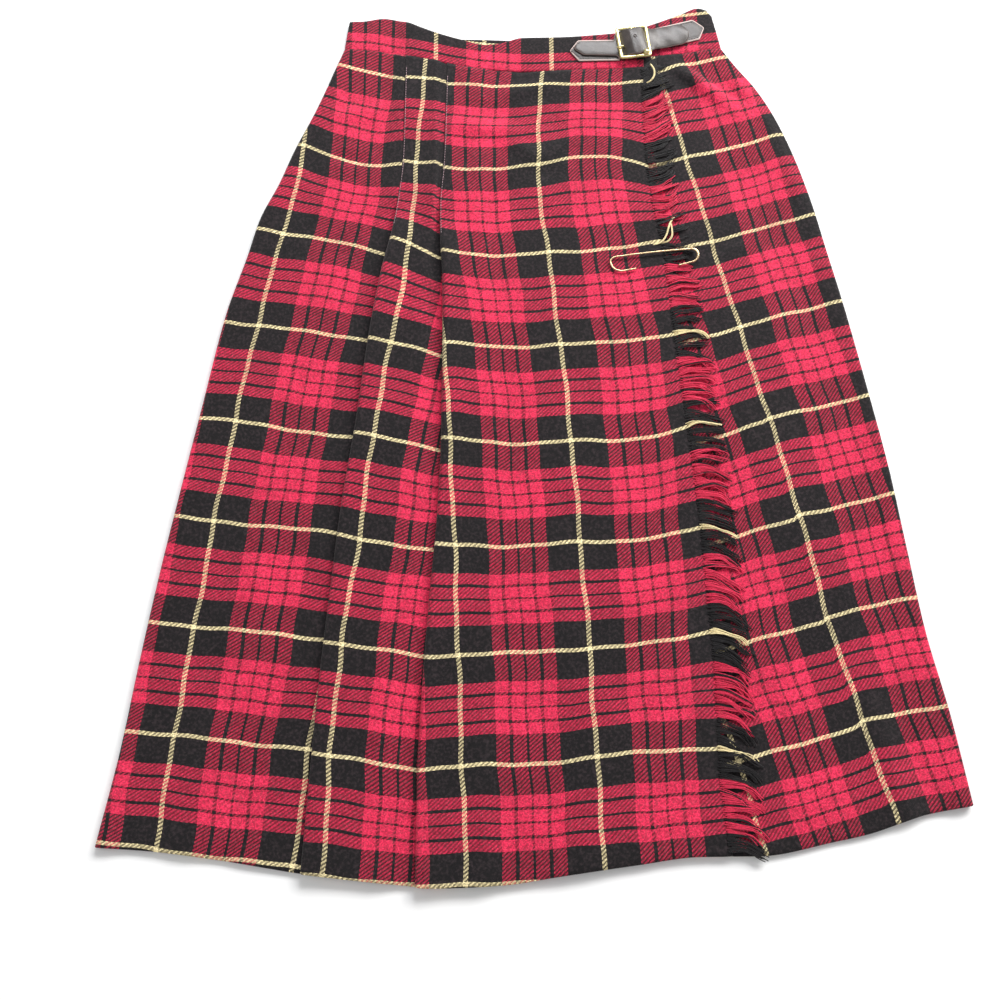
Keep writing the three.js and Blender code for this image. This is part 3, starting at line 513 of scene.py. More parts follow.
class Graph:
    """Short hand for making and linking the nodes of one tree."""

    def __init__(self, tree: Tree) -> None:
        """Keeps the tree that the nodes go into."""
        self.tree = tree

    def node(self, kind: str, inputs: Optional[dict[str, Any]] = None,
             **settings: Any) -> Node:
        """Makes a node, sets its named options and feeds its named inputs."""
        node = self.tree.nodes.new(kind)
        for name, value in settings.items():
            setattr(node, name, value)
        self.fill(node, inputs or {})
        return node

    def fill(self, node: Node, inputs: dict[str, Any]) -> None:
        """Feeds a node's inputs by their names."""
        for label, value in inputs.items():
            self.feed(node.inputs[label], value)

    def feed(self, socket: Signal, value: Any) -> None:
        """Links a socket to another, or sets its value."""
        if isinstance(value, Signal):
            self.tree.links.new(value, socket)
        else:
            socket.default_value = value

    def math(self, operation: str, *values: Any) -> Signal:
        """Works out a number from one to three others."""
        node = self.node("ShaderNodeMath", operation=operation)
        for socket, value in zip(node.inputs, values):
            self.feed(socket, value)
        return node.outputs[0]

    def blend(self, factor: Any, first: Any, second: Any,
              how: str = "MIX") -> Signal:
        """Mixes two colours."""
        node = self.node("ShaderNodeMix", data_type="RGBA", blend_type=how)
        for index, value in ((0, factor), (6, first), (7, second)):
            is_colour = isinstance(value, tuple) and len(value) == 3
            self.feed(node.inputs[index], (*value, 1.0) if is_colour else value)
        return node.outputs[2]

    def noise(self, place: Any, size: float, detail: float = 2.0) -> Signal:
        """Makes soft noise with features of a size in millimetres."""
        node = self.node("ShaderNodeTexNoise",
                         {"Vector": place, "Scale": 1.0 / (size * MM), "Detail": detail})
        return node.outputs["Fac"]

    def between(self, value: Any, low: float, high: float, to_low: float,
                to_high: float) -> Signal:
        """Maps a range of numbers onto another, held at its ends."""
        node = self.node("ShaderNodeMapRange", clamp=True)
        for socket, part in zip(node.inputs, (value, low, high, to_low, to_high)):
            self.feed(socket, part)
        return node.outputs[0]

    def place(self) -> Signal:
        """Gives the object's own coordinates."""
        return self.node("ShaderNodeTexCoord").outputs["Object"]

    def uneven(self, place: Any, size: float, detail: float, low: float,
               high: float) -> Signal:
        """Makes soft noise that goes from one number to another."""
        return self.between(self.noise(place, size, detail), 0.3, 0.7, low, high)

    def grey(self, value: Signal) -> Signal:
        """Turns a number into a grey colour."""
        node = self.node("ShaderNodeCombineColor")
        for socket in node.inputs:
            self.feed(socket, value)
        return node.outputs[0]

    def toned(self, colour: Any, shade: Signal) -> Signal:
        """Shades a colour by a number."""
        return self.blend(1.0, colour, self.grey(shade), "MULTIPLY")


class Socket(Enum):
    """Kinds of socket that the groups use."""

    NUMBER = "NodeSocketFloat"
    COLOUR = "NodeSocketColor"
    VECTOR = "NodeSocketVector"


def new_group(name: str, inputs: dict[str, Socket], outputs: dict[str, Socket]) -> tuple[
        Graph, dict[str, Signal], dict[str, Signal]]:
    """Makes an empty shader group with named sockets.

    Args:
        name: The group's name.
        inputs: Kind of each input.
        outputs: Kind of each output.

    Returns:
        The group's graph, what its inputs give and what its outputs take.
    """
    tree = bpy.data.node_groups.new(name, "ShaderNodeTree")
    for direction, sockets in (("INPUT", inputs), ("OUTPUT", outputs)):
        for label, kind in sockets.items():
            tree.interface.new_socket(name=label, in_out=direction, socket_type=kind.value)
    graph = Graph(tree)
    given = graph.node("NodeGroupInput").outputs
    taken = graph.node("NodeGroupOutput").inputs
    return graph, {n: given[n] for n in inputs}, {n: taken[n] for n in outputs}


def use_group(graph: Graph, tree: Tree, **values: Any) -> Node:
    """Places a group in a material and feeds its inputs."""
    node = graph.node("ShaderNodeGroup", node_tree=tree)
    for name, value in values.items():
        label = name.replace("_", " ").title()
        is_colour = isinstance(value, tuple) and len(value) == 3
        graph.feed(node.inputs[label], (*value, 1.0) if is_colour else value)
    return node


def new_material(name: str) -> tuple[Material, Graph, Node]:
    """Makes a material that holds one principled shader.

    Args:
        name: The material's name.

    Returns:
        The material, its graph and the shader.
    """
    material = bpy.data.materials.new(name)
    material.use_nodes = True
    graph = Graph(material.node_tree)
    shader = material.node_tree.nodes["Principled BSDF"]
    return material, graph, shader


def set_bump(graph: Graph, shader: Node, height: Any, distance: float,
             strength: float = 1.0) -> None:
    """Feeds a height, in units of a distance in millimetres, to a shader's normal."""
    bump = graph.node("ShaderNodeBump", {"Strength": strength, "Distance": distance * MM,
                                         "Height": height})
    graph.feed(shader.inputs["Normal"], bump.outputs["Normal"])


@dataclass(frozen=True)
class Yarn:
    """Colours of the check's yarns and where its stripes start, in parts of half a repeat."""

    red: Colour = (0.65, 0.022, 0.074)
    black: Colour = (0.006, 0.0045, 0.0055)
    yellow: Colour = (0.88, 0.74, 0.41)
    half: float = 80.0  # parts from a yellow line's middle to the next turn
    yellow_to: float = 3.3
    black_to: float = 42.0
    block: float = 16.75  # red between two fine black lines
    fine: float = 3.0  # width of a fine black line

    def stripes(self) -> list[tuple[float, Colour]]:
        """Lists where each stripe starts, in parts from the yellow line's middle."""
        first_line = self.black_to + self.block
        second_line = first_line + self.fine + self.block
        return [
            (0, self.yellow), (self.yellow_to, self.black), (self.black_to, self.red),
            (first_line, self.black), (first_line + self.fine, self.red),
            (second_line, self.black),
        ]

    def group(self) -> Tree:
        """Makes the group that gives a yarn's colour from its place in the check."""
        graph, given, taken = new_group("stripe_colour", {"Place": Socket.NUMBER},
                                        {"Color": Socket.COLOUR})
        whole = graph.math("ROUND", given["Place"])
        off = graph.math("ABSOLUTE", graph.math("SUBTRACT", given["Place"], whole))
        ramp = graph.node("ShaderNodeValToRGB")
        ramp.color_ramp.interpolation = "CONSTANT"
        graph.feed(ramp.inputs[0], graph.math("MULTIPLY", off, 2.0))
        elements = ramp.color_ramp.elements
        elements.remove(elements[1])
        for part, colour in self.stripes():
            element = elements[0] if part == 0 else elements.new(part / self.half)
            element.position = part / self.half
            element.color = (*colour, 1.0)
        graph.feed(taken["Color"], ramp.outputs["Color"])
        return graph.tree


@dataclass(frozen=True)
class Tartan:
    """Brushed wool twill, woven two over and two under in the yarn's check."""

    yarn: Yarn = Yarn()
    threads: float = 110.0  # threads in one repeat of the check
    on_top: float = 0.67  # share of the warp that shows where it is on top
    below: float = 0.11  # share of the warp that shows where it is below
    shading: float = 0.86  # how far a dark yarn shades a bright one beside it
    roughness: float = 0.88
    fibre: float = 1.7  # size of the brushed tufts
    cloud: float = 26.0  # size of the broad uneven patches
    lint: float = 2.4  # size of the specks of lint
    lint_colour: Colour = (0.62, 0.42, 0.46)

    def group(self, stripe: Tree) -> Tree:
        """Makes the weave's group: colour, roughness and height from a place in the check.

        Args:
            stripe: The group that gives a yarn's colour.

        Returns:
            The weave's group.
        """
        graph, given, taken = new_group(
            "twill_weave", {"Check": Socket.VECTOR, "Place": Socket.VECTOR},
            {"Color": Socket.COLOUR, "Roughness": Socket.NUMBER, "Height": Socket.NUMBER})
        split = graph.node("ShaderNodeSeparateXYZ")
        graph.feed(split.inputs[0], given["Check"])
        across = graph.math("MULTIPLY", split.outputs["X"], self.threads)
        down = graph.math("MULTIPLY", split.outputs["Y"], self.threads)
        cell = (graph.math("FLOOR", across), graph.math("FLOOR", down))
        step = graph.math("ADD", *cell)
        warp_on_top = graph.math("LESS_THAN", graph.math("FLOORED_MODULO", step, 4.0), 2.0)
        middles = [graph.math("DIVIDE", graph.math("ADD", c, 0.5), self.threads) for c in cell]
        warp, weft = (use_group(graph, stripe, place=m).outputs["Color"] for m in middles)
        napped = graph.between(warp_on_top, 0, 1, self.below, self.on_top)
        woven = graph.blend(napped, weft, warp)
        apart = graph.math("ABSOLUTE", graph.math("SUBTRACT", self.redness(graph, warp),
                                                  self.redness(graph, weft)))
        shaded = graph.between(apart, 0.1, 0.6, 1.0, self.shading)
        crown = graph.blend(warp_on_top, self.crown(graph, down), self.crown(graph, across))
        fibres = graph.noise(given["Place"], self.fibre, 4.0)
        cloud = graph.noise(given["Place"], self.cloud, 2.0)
        # Partly painted highlight: white noise per float brightens or darkens whole floats, partly
        # random tone and partly glints of fibres catching light.
        corner = graph.node("ShaderNodeCombineXYZ", dict(zip("XY", cell)))
        speckle_and_glint = graph.node("ShaderNodeTexWhiteNoise", {"Vector": corner.outputs[0]},
                             noise_dimensions="2D")
        # Painted shade and highlight: a dark yarn darkens a bright one beside it, and the crown
        # darkens each thread's sides and lightens its middle.
        shade = shaded
        for part, low, high, dark, light in (
                (fibres, 0.3, 0.7, 0.64, 1.34), (cloud, 0.3, 0.7, 0.88, 1.10),
                (speckle_and_glint.outputs["Value"], 0, 1, 0.70, 1.32), (crown, 0, 1, 0.80, 1.08)):
            shade = graph.math("MULTIPLY", shade, graph.between(part, low, high, dark, light))
        lint = graph.between(graph.noise(given["Place"], self.lint, 5.0), 0.46, 0.72, 0.0, 0.040)
        graph.feed(taken["Color"], graph.blend(lint, graph.toned(woven, shade), self.lint_colour))
        rough = graph.between(fibres, 0.2, 0.8, self.roughness - 0.08, self.roughness + 0.08)
        graph.feed(taken["Roughness"], rough)
        fuzz = graph.math("MULTIPLY", fibres, 0.9)
        graph.feed(taken["Height"], graph.math("ADD", crown, fuzz))
        return graph.tree

    @staticmethod
    def crown(graph: Graph, threads: Signal) -> Signal:
        """Gives the round back of a thread, from 0 at its sides to 1 along its middle."""
        angle = graph.math("MULTIPLY", graph.math("FRACT", threads), math.pi)
        return graph.math("SINE", angle)

    @staticmethod
    def redness(graph: Graph, colour: Signal) -> Signal:
        """Gives how much redder than green a colour is, which only the red yarn is."""
        node = graph.node("ShaderNodeSeparateColor")
        graph.feed(node.inputs[0], colour)
        return graph.math("SUBTRACT", node.outputs["Red"], node.outputs["Green"])

    def material(self, name: str, weave: Tree) -> Material:
        """Makes the cloth's material, which reads the piece's own check map."""
        material, graph, shader = new_material(name)
        check = graph.node("ShaderNodeUVMap", uv_map=CHECK_MAP).outputs["UV"]
        woven = use_group(graph, weave, check=check, place=graph.place())
        graph.fill(shader, {"Base Color": woven.outputs["Color"],
                            "Roughness": woven.outputs["Roughness"],
                            "Specular IOR Level": 0.28, "Sheen Weight": 0.16,
                            "Sheen Roughness": 0.45})
        set_bump(graph, shader, woven.outputs["Height"], 0.16, 0.7)
        return material


@dataclass(frozen=True)
class LooseYarn:
    """Two-ply wool yarn of the fringe, each strand in the colour of its row."""

    ply: float = 1.3  # length of one twist of the plies

    def material(self, name: str, stripe: Tree) -> Material:
        """Makes the yarn's material, which reads each strand's row."""
        material, graph, shader = new_material(name)
        row = graph.node("ShaderNodeAttribute", attribute_name=ROW_NAME).outputs["Fac"]
        colour = use_group(graph, stripe, place=row).outputs["Color"]
        place = graph.place()
        shade = graph.uneven(place, 1.1, 3.0, 0.72, 1.12)
        graph.fill(shader, {"Base Color": graph.toned(colour, shade),
                            "Roughness": graph.uneven(place, 4.0, 2.0, 0.78, 0.92),
                            "Specular IOR Level": 0.25, "Sheen Weight": 0.25})
        wave = graph.node("ShaderNodeTexWave",
                          {"Vector": place, "Scale": 1.0 / (self.ply * MM * 6.0)},
                          wave_type="BANDS", bands_direction="DIAGONAL")
        set_bump(graph, shader, wave.outputs["Fac"], 0.12, 0.7)
        return material


@dataclass(frozen=True)
class Thread:
    """Sewing thread."""

    colour: Colour
    roughness: float = 0.6

    def material(self, name: str) -> Material:
        """Makes the thread's material."""
        material, graph, shader = new_material(name)
        shade = graph.uneven(graph.place(), 1.4, 2.0, 0.75, 1.1)
        rough = graph.uneven(graph.place(), 0.6, 2.0, self.roughness - 0.1, self.roughness + 0.1)
        graph.fill(shader, {"Base Color": graph.toned(self.colour, shade), "Roughness": rough})
        return material


def scuff_group() -> Tree:
    """Makes the group of worn patches and fine marks that leather and brass share."""
    graph, given, taken = new_group(
        "scuffs", {"Place": Socket.VECTOR, "Amount": Socket.NUMBER}, {"Mask": Socket.NUMBER})
    patches = graph.between(graph.noise(given["Place"], 5.0, 4.0), 0.42, 0.72, 0.0, 1.0)
    marks = graph.between(graph.noise(given["Place"], 0.8, 5.0), 0.45, 0.70, 0.0, 1.0)
    both = graph.math("MULTIPLY", graph.math("MULTIPLY", patches, marks), given["Amount"])
    graph.feed(taken["Mask"], both)
    return graph.tree


@dataclass(frozen=True)
class Leather:
    """Dark grained leather with pale cut edges."""

    face: Colour = (0.046, 0.037, 0.034)
    worn: Colour = (0.13, 0.108, 0.100)
    cut: Colour = (0.66, 0.52, 0.48)
    pale_edge: float = 1.0  # how pale the cut edge is
    roughness: float = 0.40
    grain: float = 0.75  # size of the grain

    def material(self, name: str, scuffs: Tree) -> Material:
        """Makes the leather's material, which reads how near a point is to a cut edge."""
        material, graph, shader = new_material(name)
        place = graph.place()
        rub = use_group(graph, scuffs, place=place, amount=0.8).outputs["Mask"]
        rim = graph.node("ShaderNodeAttribute", attribute_name=RIM_NAME).outputs["Fac"]
        faced = graph.blend(rub, self.face, self.worn)
        toned = graph.toned(faced, graph.uneven(place, 9.0, 3.0, 0.8, 1.25))
        raw = graph.math("MULTIPLY", graph.between(rim, 0.35, 0.75, 0.0, 1.0), self.pale_edge)
        rough = graph.math("MAXIMUM",
                           graph.between(rub, 0, 1, self.roughness, self.roughness + 0.25),
                           graph.math("MULTIPLY", raw, 0.8))
        graph.fill(shader, {"Base Color": graph.blend(raw, toned, self.cut), "Roughness": rough,
                            "Specular IOR Level": 0.5})
        grain = graph.node("ShaderNodeTexVoronoi",
                           {"Vector": place, "Scale": 1.0 / (self.grain * MM)},
                           feature="SMOOTH_F1")
        creases = graph.math("ADD", grain.outputs["Distance"], graph.noise(place, 2.6, 4.0))
        set_bump(graph, shader, creases, 0.14, 0.75)
        return material


@dataclass(frozen=True)
class Brass:
    """Polished brass, a little worn and dulled."""

    bright: Colour = (0.82, 0.72, 0.36)
    dull: Colour = (0.36, 0.30, 0.11)
    roughness: float = 0.27

    def material(self, name: str, scuffs: Tree) -> Material:
        """Makes the metal's material."""
        material, graph, shader = new_material(name)
        place = graph.place()
        rub = use_group(graph, scuffs, place=place, amount=1.0).outputs["Mask"]
        tarnish = graph.between(graph.noise(place, 3.4, 4.0), 0.40, 0.72, 0.0, 0.7)
        rough = graph.math("ADD", graph.between(tarnish, 0, 1, self.roughness, 0.45),
                           graph.math("MULTIPLY", rub, 0.15))
        graph.fill(shader, {"Base Color": graph.blend(tarnish, self.bright, self.dull),
                            "Metallic": 1.0, "Roughness": rough})
        set_bump(graph, shader, graph.noise(place, 0.5, 3.0), 0.02, 0.4)
        return material


CHECK_MAP = "check"  # the cloth's own map, in repeats of the check
RIM_NAME = "rim"  # 1 along a piece's cut edge, 0 away from it
ROW_NAME = "row"  # a strand's row of the check


@dataclass
class Wardrobe:
    """Every material of the skirt, made once."""

    def __post_init__(self) -> None:
        """Makes the shared groups and the materials that use them."""
        tartan = Tartan()
        stripe = tartan.yarn.group()
        weave = tartan.group(stripe)
        scuffs = scuff_group()
        self.tartan = tartan.material("tartan_twill", weave)
        self.fringe = LooseYarn().material("fringe_yarn", stripe)
        self.pale_thread = Thread((0.60, 0.40, 0.44)).material("pale_thread")
        self.dark_thread = Thread((0.05, 0.035, 0.03)).material("dark_thread")
        self.leather = Leather().material("grained_leather", scuffs)
        self.strap = Leather(pale_edge=0.45, roughness=0.34).material("strap_leather", scuffs)
        self.brass = Brass().material("worn_brass", scuffs)
        self.pin = Brass((0.80, 0.60, 0.36), (0.20, 0.12, 0.06), 0.30).material("dull_brass", scuffs)


# ---- meshes ----


def new_object(name: str, mesh: Mesh,
               material: Optional[Material] = None) -> Piece:
    """Puts a mesh in the scene under a name, with a material where one is given."""
    thing = bpy.data.objects.new(name, mesh)
    bpy.context.scene.collection.objects.link(thing)
    if material is not None:
        mesh.materials.append(material)
    return thing


def attach(piece: Piece, slot: str, node: Optional[str] = None) -> None:
    """Puts a piece on the skirt's body, in place of its solid where it has one."""
    if node:
        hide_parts(node)
    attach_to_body(piece, "root")
    LOG.info("%s: %d faces", piece.name, len(piece.data.polygons))


def new_mesh(name: str, points: Array, faces: Sequence[Sequence[int]],
             smooth_shaded: bool = True) -> Mesh:
    """Makes a mesh from points in millimetres.

    Args:
        name: The mesh's name.
        points: One row of x, y and z for each point.
        faces: The points of each face, counter-clockwise seen from outside.
        smooth_shaded: Whether the faces shade as one surface.

    Returns:
        The new mesh.
    """
    mesh = bpy.data.meshes.new(name)
    mesh.from_pydata((np.asarray(points) * MM).tolist(), [], [list(f) for f in faces])
    mesh.polygons.foreach_set("use_smooth", [smooth_shaded] * len(mesh.polygons))
    mesh.update()
    return mesh


def set_map(mesh: Mesh, places: Array) -> None:
    """Gives a mesh its check map from one place for each point."""
    layer = mesh.uv_layers.new(name=CHECK_MAP)
    corners = np.empty(len(mesh.loops), np.int32)
    mesh.loops.foreach_get("vertex_index", corners)
    layer.data.foreach_set("uv", places[corners].ravel())


def set_values(mesh: Mesh, name: str, values: Array) -> None:
    """Gives a mesh a named number at each point."""
    mesh.attributes.new(name, "FLOAT", "POINT").data.foreach_set("value", values.astype(float))


@dataclass
class Wall:
    """A wall on both sides of a grid of points, with rows down and columns across.

    The outer side is up where the rows run down the skirt and the columns to the right.
    """

    points: Array  # rows x columns x 3
    check: Array  # rows x columns x 2
    thick: Array  # rows x columns
    rim: float = 0.42  # how far the rounded rim stands out, in thicknesses
    edge_mark: float = 0.0  # how strongly the faces are marked as rim at their edge

    def normals(self) -> Array:
        """Gives the outer side's direction at each point."""
        outward = np.cross(np.gradient(self.points, axis=0), np.gradient(self.points, axis=1))
        return outward / np.linalg.norm(outward, axis=2, keepdims=True)

    def border(self) -> list[int]:
        """Lists the points round the edge, clockwise seen from the outer side."""
        rows, columns = self.thick.shape
        ids = np.arange(rows * columns).reshape(rows, columns)
        sides = [ids[0, :-1], ids[:-1, -1], ids[-1, :0:-1], ids[:0:-1, 0]]
        return np.concatenate(sides).tolist()

    def build(self, name: str) -> Mesh:
        """Makes the closed wall as a mesh.

        Args:
            name: The mesh's name.

        Returns:
            The wall, with its check map and its rim marked.
        """
        rows, columns = self.thick.shape
        count = rows * columns
        middle = self.points.reshape(-1, 3)
        normal = self.normals().reshape(-1, 3)
        half = self.thick.reshape(-1, 1) / 2
        border = self.border()
        loop = middle[border]
        heading = np.roll(loop, -1, axis=0) - np.roll(loop, 1, axis=0)
        outward = np.cross(normal[border], heading)
        outward /= np.linalg.norm(outward, axis=1, keepdims=True)
        rim = loop + outward * self.thick.reshape(-1, 1)[border] * self.rim
        points = np.concatenate([middle + normal * half, middle - normal * half, rim])
        ids = np.arange(count).reshape(rows, columns)
        a, b, d, e = ids[:-1, :-1], ids[:-1, 1:], ids[1:, 1:], ids[1:, :-1]
        outer = np.stack([e, d, b, a], axis=-1).reshape(-1, 4)
        inner = np.stack([a, b, d, e], axis=-1).reshape(-1, 4) + count
        here = np.array(border)
        there = np.roll(here, -1)
        rim_here = 2 * count + np.arange(len(border))
        rim_there = np.roll(rim_here, -1)
        upper = np.stack([there, rim_there, rim_here, here], axis=-1)
        lower = np.stack([rim_there, there + count, here + count, rim_here], axis=-1)
        faces = np.concatenate([outer, inner, upper, lower]).tolist()
        mesh = new_mesh(name, points, faces)
        check = self.check.reshape(-1, 2)
        set_map(mesh, np.concatenate([check, check, check[border]]))
        marks = np.zeros(len(points))
        marks[2 * count:] = 1.0
        marks[border] = self.edge_mark
        set_values(mesh, RIM_NAME, marks)
        return mesh

    def area(self) -> float:
        """Gives the flat area of the cloth in square metres."""
        across = np.diff(self.points, axis=1)[:-1]
        down = np.diff(self.points, axis=0)[:, :-1]
        return float(np.linalg.norm(np.cross(across, down), axis=2).sum()) * MM * MM


def tube(name: str, path: Array, radii: Array, sides: int = 12,
         closed: bool = False) -> Mesh:
    """Makes a round tube along a path.

    Args:
        name: The mesh's name.
        path: Points along the middle.
        radii: Radius at each point.
        sides: Corners of a section.
        closed: Whether the path joins its own start.

    Returns:
        The tube, with round ends where it is open.
    """
    if not closed:
        path, radii = round_ends(path, radii)
    count = len(path)
    if closed:
        heading = np.roll(path, -1, axis=0) - np.roll(path, 1, axis=0)
    else:
        heading = np.gradient(path, axis=0)
    heading = heading / np.linalg.norm(heading, axis=1, keepdims=True)
    side = np.cross(heading, [0.0, 0.0, 1.0])
    side /= np.maximum(1e-9, np.linalg.norm(side, axis=1, keepdims=True))
    up = np.cross(side, heading)
    angles = np.linspace(0, 2 * np.pi, sides, endpoint=False)
    ring = np.cos(angles)[None, :, None] * side[:, None] + np.sin(angles)[None, :, None] * up[:, None]
    points = (path[:, None] + ring * radii[:, None, None]).reshape(-1, 3)
    faces = []
    for i in range(count if closed else count - 1):
        j = (i + 1) % count
        for k in range(sides):
            m = (k + 1) % sides
            faces.append([i * sides + m, i * sides + k, j * sides + k, j * sides + m])
    if not closed:
        faces.append(list(range(sides)))
        faces.append([(count - 1) * sides + k for k in reversed(range(sides))])
    return facing_out(new_mesh(name, points, faces))


def round_ends(path: Array, radii: Array) -> tuple[Array, Array]:
    """Adds a few shrinking sections to both ends of a path."""
    first = path[0] - path[1]
    last = path[-1] - path[-2]
    first = first / np.linalg.norm(first)
    last = last / np.linalg.norm(last)
    steps = np.radians([88.0, 60.0, 30.0])
    head = path[0] + first * radii[0] * np.sin(steps)[:, None]
    tail = path[-1] + last * radii[-1] * np.sin(steps[::-1])[:, None]
    ends = [radii[0] * np.cos(steps), radii, radii[-1] * np.cos(steps[::-1])]
    return np.concatenate([head, path, tail]), np.concatenate(ends)


def facing_out(mesh: Mesh) -> Mesh:
    """Turns every face of a closed mesh outwards."""
    work = bmesh.new()
    work.from_mesh(mesh)
    bmesh.ops.recalc_face_normals(work, faces=work.faces)
    work.to_mesh(mesh)
    work.free()
    return mesh


def flowing(points: Sequence[Sequence[float]], count: int) -> Array:
    """Runs a smooth line through given points.

    Args:
        points: The points, as x, y and z.
        count: How many points the line gets.

    Returns:
        The line's points.
    """
    knots = np.array(points, float)
    lengths = np.linalg.norm(np.diff(knots, axis=0), axis=1)
    at = np.concatenate([[0.0], np.cumsum(np.sqrt(lengths))])
    want = np.linspace(0, at[-1], count)
    tangents = np.gradient(knots, at, axis=0)
    i = np.clip(np.searchsorted(at, want) - 1, 0, len(at) - 2)
    span = (at[i + 1] - at[i])[:, None]
    t = ((want - at[i])[:, None]) / span
    near = (1 + 2 * t) * (1 - t) ** 2 * knots[i] + t * (1 - t) ** 2 * span * tangents[i]
    far = t * t * (3 - 2 * t) * knots[i + 1] - t * t * (1 - t) * span * tangents[i + 1]
    return near + far


def joined(name: str, meshes: Sequence[Mesh]) -> Mesh:
    """Joins meshes that have no maps of their own into one."""
    work = bmesh.new()
    for mesh in meshes:
        work.from_mesh(mesh)
    whole = bpy.data.meshes.new(name)
    work.to_mesh(whole)
    work.free()
    whole.polygons.foreach_set("use_smooth", [True] * len(whole.polygons))
    return whole


def moved(mesh: Mesh, x: float, y: float, z: float, turn: float) -> Mesh:
    """Turns a mesh about +Z and moves it, in millimetres and radians."""
    mesh.transform(Matrix.Translation((x * MM, y * MM, z * MM)) @ Matrix.Rotation(turn, 4, "Z"))
    return mesh


# ---- geometry nodes ----


class NodeTool:
    """A geometry tree with named inputs that turns a piece's guide lines into finished mesh."""

    def __init__(self, name: str, sizes: dict[str, float]) -> None:
        """Makes the tree's sockets.

        Args:
            name: The tree's name.
            sizes: Each named input and its usual value.
        """
        self.tree = bpy.data.node_groups.new(name, "GeometryNodeTree")
        face = self.tree.interface
        face.new_socket(name="Geometry", in_out="INPUT", socket_type="NodeSocketGeometry")
        face.new_socket(name="Geometry", in_out="OUTPUT", socket_type="NodeSocketGeometry")
        self.sockets = {}
        for label, value in sizes.items():
            socket = face.new_socket(name=label, in_out="INPUT", socket_type="NodeSocketFloat")
            socket.default_value = value
            self.sockets[label] = socket.identifier
        paint = face.new_socket(name="Material", in_out="INPUT", socket_type="NodeSocketMaterial")
        self.sockets["Material"] = paint.identifier
        self.graph = Graph(self.tree)
        self.given = self.graph.node("NodeGroupInput").outputs
        self.taken = self.graph.node("NodeGroupOutput").inputs

    def finish(self, geometry: Signal) -> None:
        """Ends the tree by realizing what it placed and giving it its material."""
        real = self.graph.node("GeometryNodeRealizeInstances", {"Geometry": geometry})
        shaded = self.graph.node("GeometryNodeSetShadeSmooth",
                                 {"Geometry": real.outputs["Geometry"]})
        painted = self.graph.node("GeometryNodeSetMaterial", {
            "Geometry": shaded.outputs["Geometry"], "Material": self.given["Material"]})
        self.graph.feed(self.taken["Geometry"], painted.outputs["Geometry"])

    def run(self, guide: Mesh, name: str, material: Material,
            **sizes: float) -> Piece:
        """Runs the tree on guide lines and keeps the result as a plain mesh.

        Args:
            guide: Mesh of the guide lines.
            name: Name of the finished piece.
            material: What the piece is made of.
            **sizes: Values for the named inputs.

        Returns:
            The finished piece.
        """
        holder = new_object(name + "_guide", guide)
        modifier = holder.modifiers.new(self.tree.name, "NODES")
        modifier.node_group = self.tree
        modifier[self.sockets["Material"]] = material
        for label, value in sizes.items():
            modifier[self.sockets[label.replace("_", " ").title()]] = value
        graph = bpy.context.evaluated_depsgraph_get()
        mesh = bpy.data.meshes.new_from_object(holder.evaluated_get(graph))
        holder.modifiers.remove(modifier)
        bpy.data.objects.remove(holder)
        mesh.name = name
        return new_object(name, mesh)


def yarn_tool() -> NodeTool:
    """Makes the tree that spins each guide line into a yarn."""
    tool = NodeTool("spin_yarn", {"Radius": 0.0003, "Sides": 5.0})
    graph, given = tool.graph, tool.given
    curve = graph.node("GeometryNodeMeshToCurve", {"Mesh": given["Geometry"]})
    ring = graph.node("GeometryNodeCurvePrimitiveCircle",
                      {"Resolution": given["Sides"], "Radius": given["Radius"]})
    sweep = graph.node("GeometryNodeCurveToMesh", {
        "Curve": curve.outputs["Curve"], "Profile Curve": ring.outputs["Curve"], "Fill Caps": True})
    tool.finish(sweep.outputs["Mesh"])
    return tool


def stitch_tool() -> NodeTool:
    """Makes the tree that sews a run of stitches along each guide line."""
    tool = NodeTool("sew_run", {"Spacing": 0.003, "Length": 0.0022, "Radius": 0.00022})
    graph, given = tool.graph, tool.given
    curve = graph.node("GeometryNodeMeshToCurve", {"Mesh": given["Geometry"]})
    points = graph.node("GeometryNodeCurveToPoints",
                        {"Curve": curve.outputs["Curve"], "Length": given["Spacing"]},
                        mode="LENGTH")
    stitch = graph.node("GeometryNodeMeshUVSphere", {"Segments": 6, "Rings": 6, "Radius": 1.0})
    size = graph.node("ShaderNodeCombineXYZ", {
        "X": given["Radius"], "Y": given["Radius"],
        "Z": graph.math("MULTIPLY", given["Length"], 0.5)})
    jitter = graph.node("FunctionNodeRandomValue", data_type="FLOAT")
    for label, value in (("Min", 0.82), ("Max", 1.12), ("Seed", SEED)):
        next(s for s in jitter.inputs if s.name == label and s.enabled).default_value = value
    chosen = next(s for s in jitter.outputs if s.enabled)
    uneven = graph.node("ShaderNodeVectorMath", {"Scale": chosen}, operation="SCALE")
    graph.feed(uneven.inputs[0], size.outputs[0])
    place = graph.node("GeometryNodeInstanceOnPoints", {
        "Points": points.outputs["Points"], "Instance": stitch.outputs["Mesh"],
        "Rotation": points.outputs["Rotation"], "Scale": uneven.outputs[0]})
    tool.finish(place.outputs["Instances"])
    return tool


def guide_lines(name: str, lines: Sequence[Array], rows: Optional[Sequence[float]] = None
                ) -> Mesh:
    """Makes a mesh of open lines.

    Args:
        name: The mesh's name.
        lines: Points of each line, in millimetres.
        rows: Each line's row of the check, where it has one.

    Returns:
        The mesh of edges.
    """
    points = np.concatenate(lines)
    edges = []
    start = 0
    for line in lines:
        edges += [(start + i, start + i + 1) for i in range(len(line) - 1)]
        start += len(line)
    mesh = bpy.data.meshes.new(name)
    mesh.from_pydata((points * MM).tolist(), edges, [])
    if rows is not None:
        counts = [len(line) for line in lines]
        set_values(mesh, ROW_NAME, np.repeat(np.array(rows, float), counts))
    return mesh


# ---- cloth panels ----


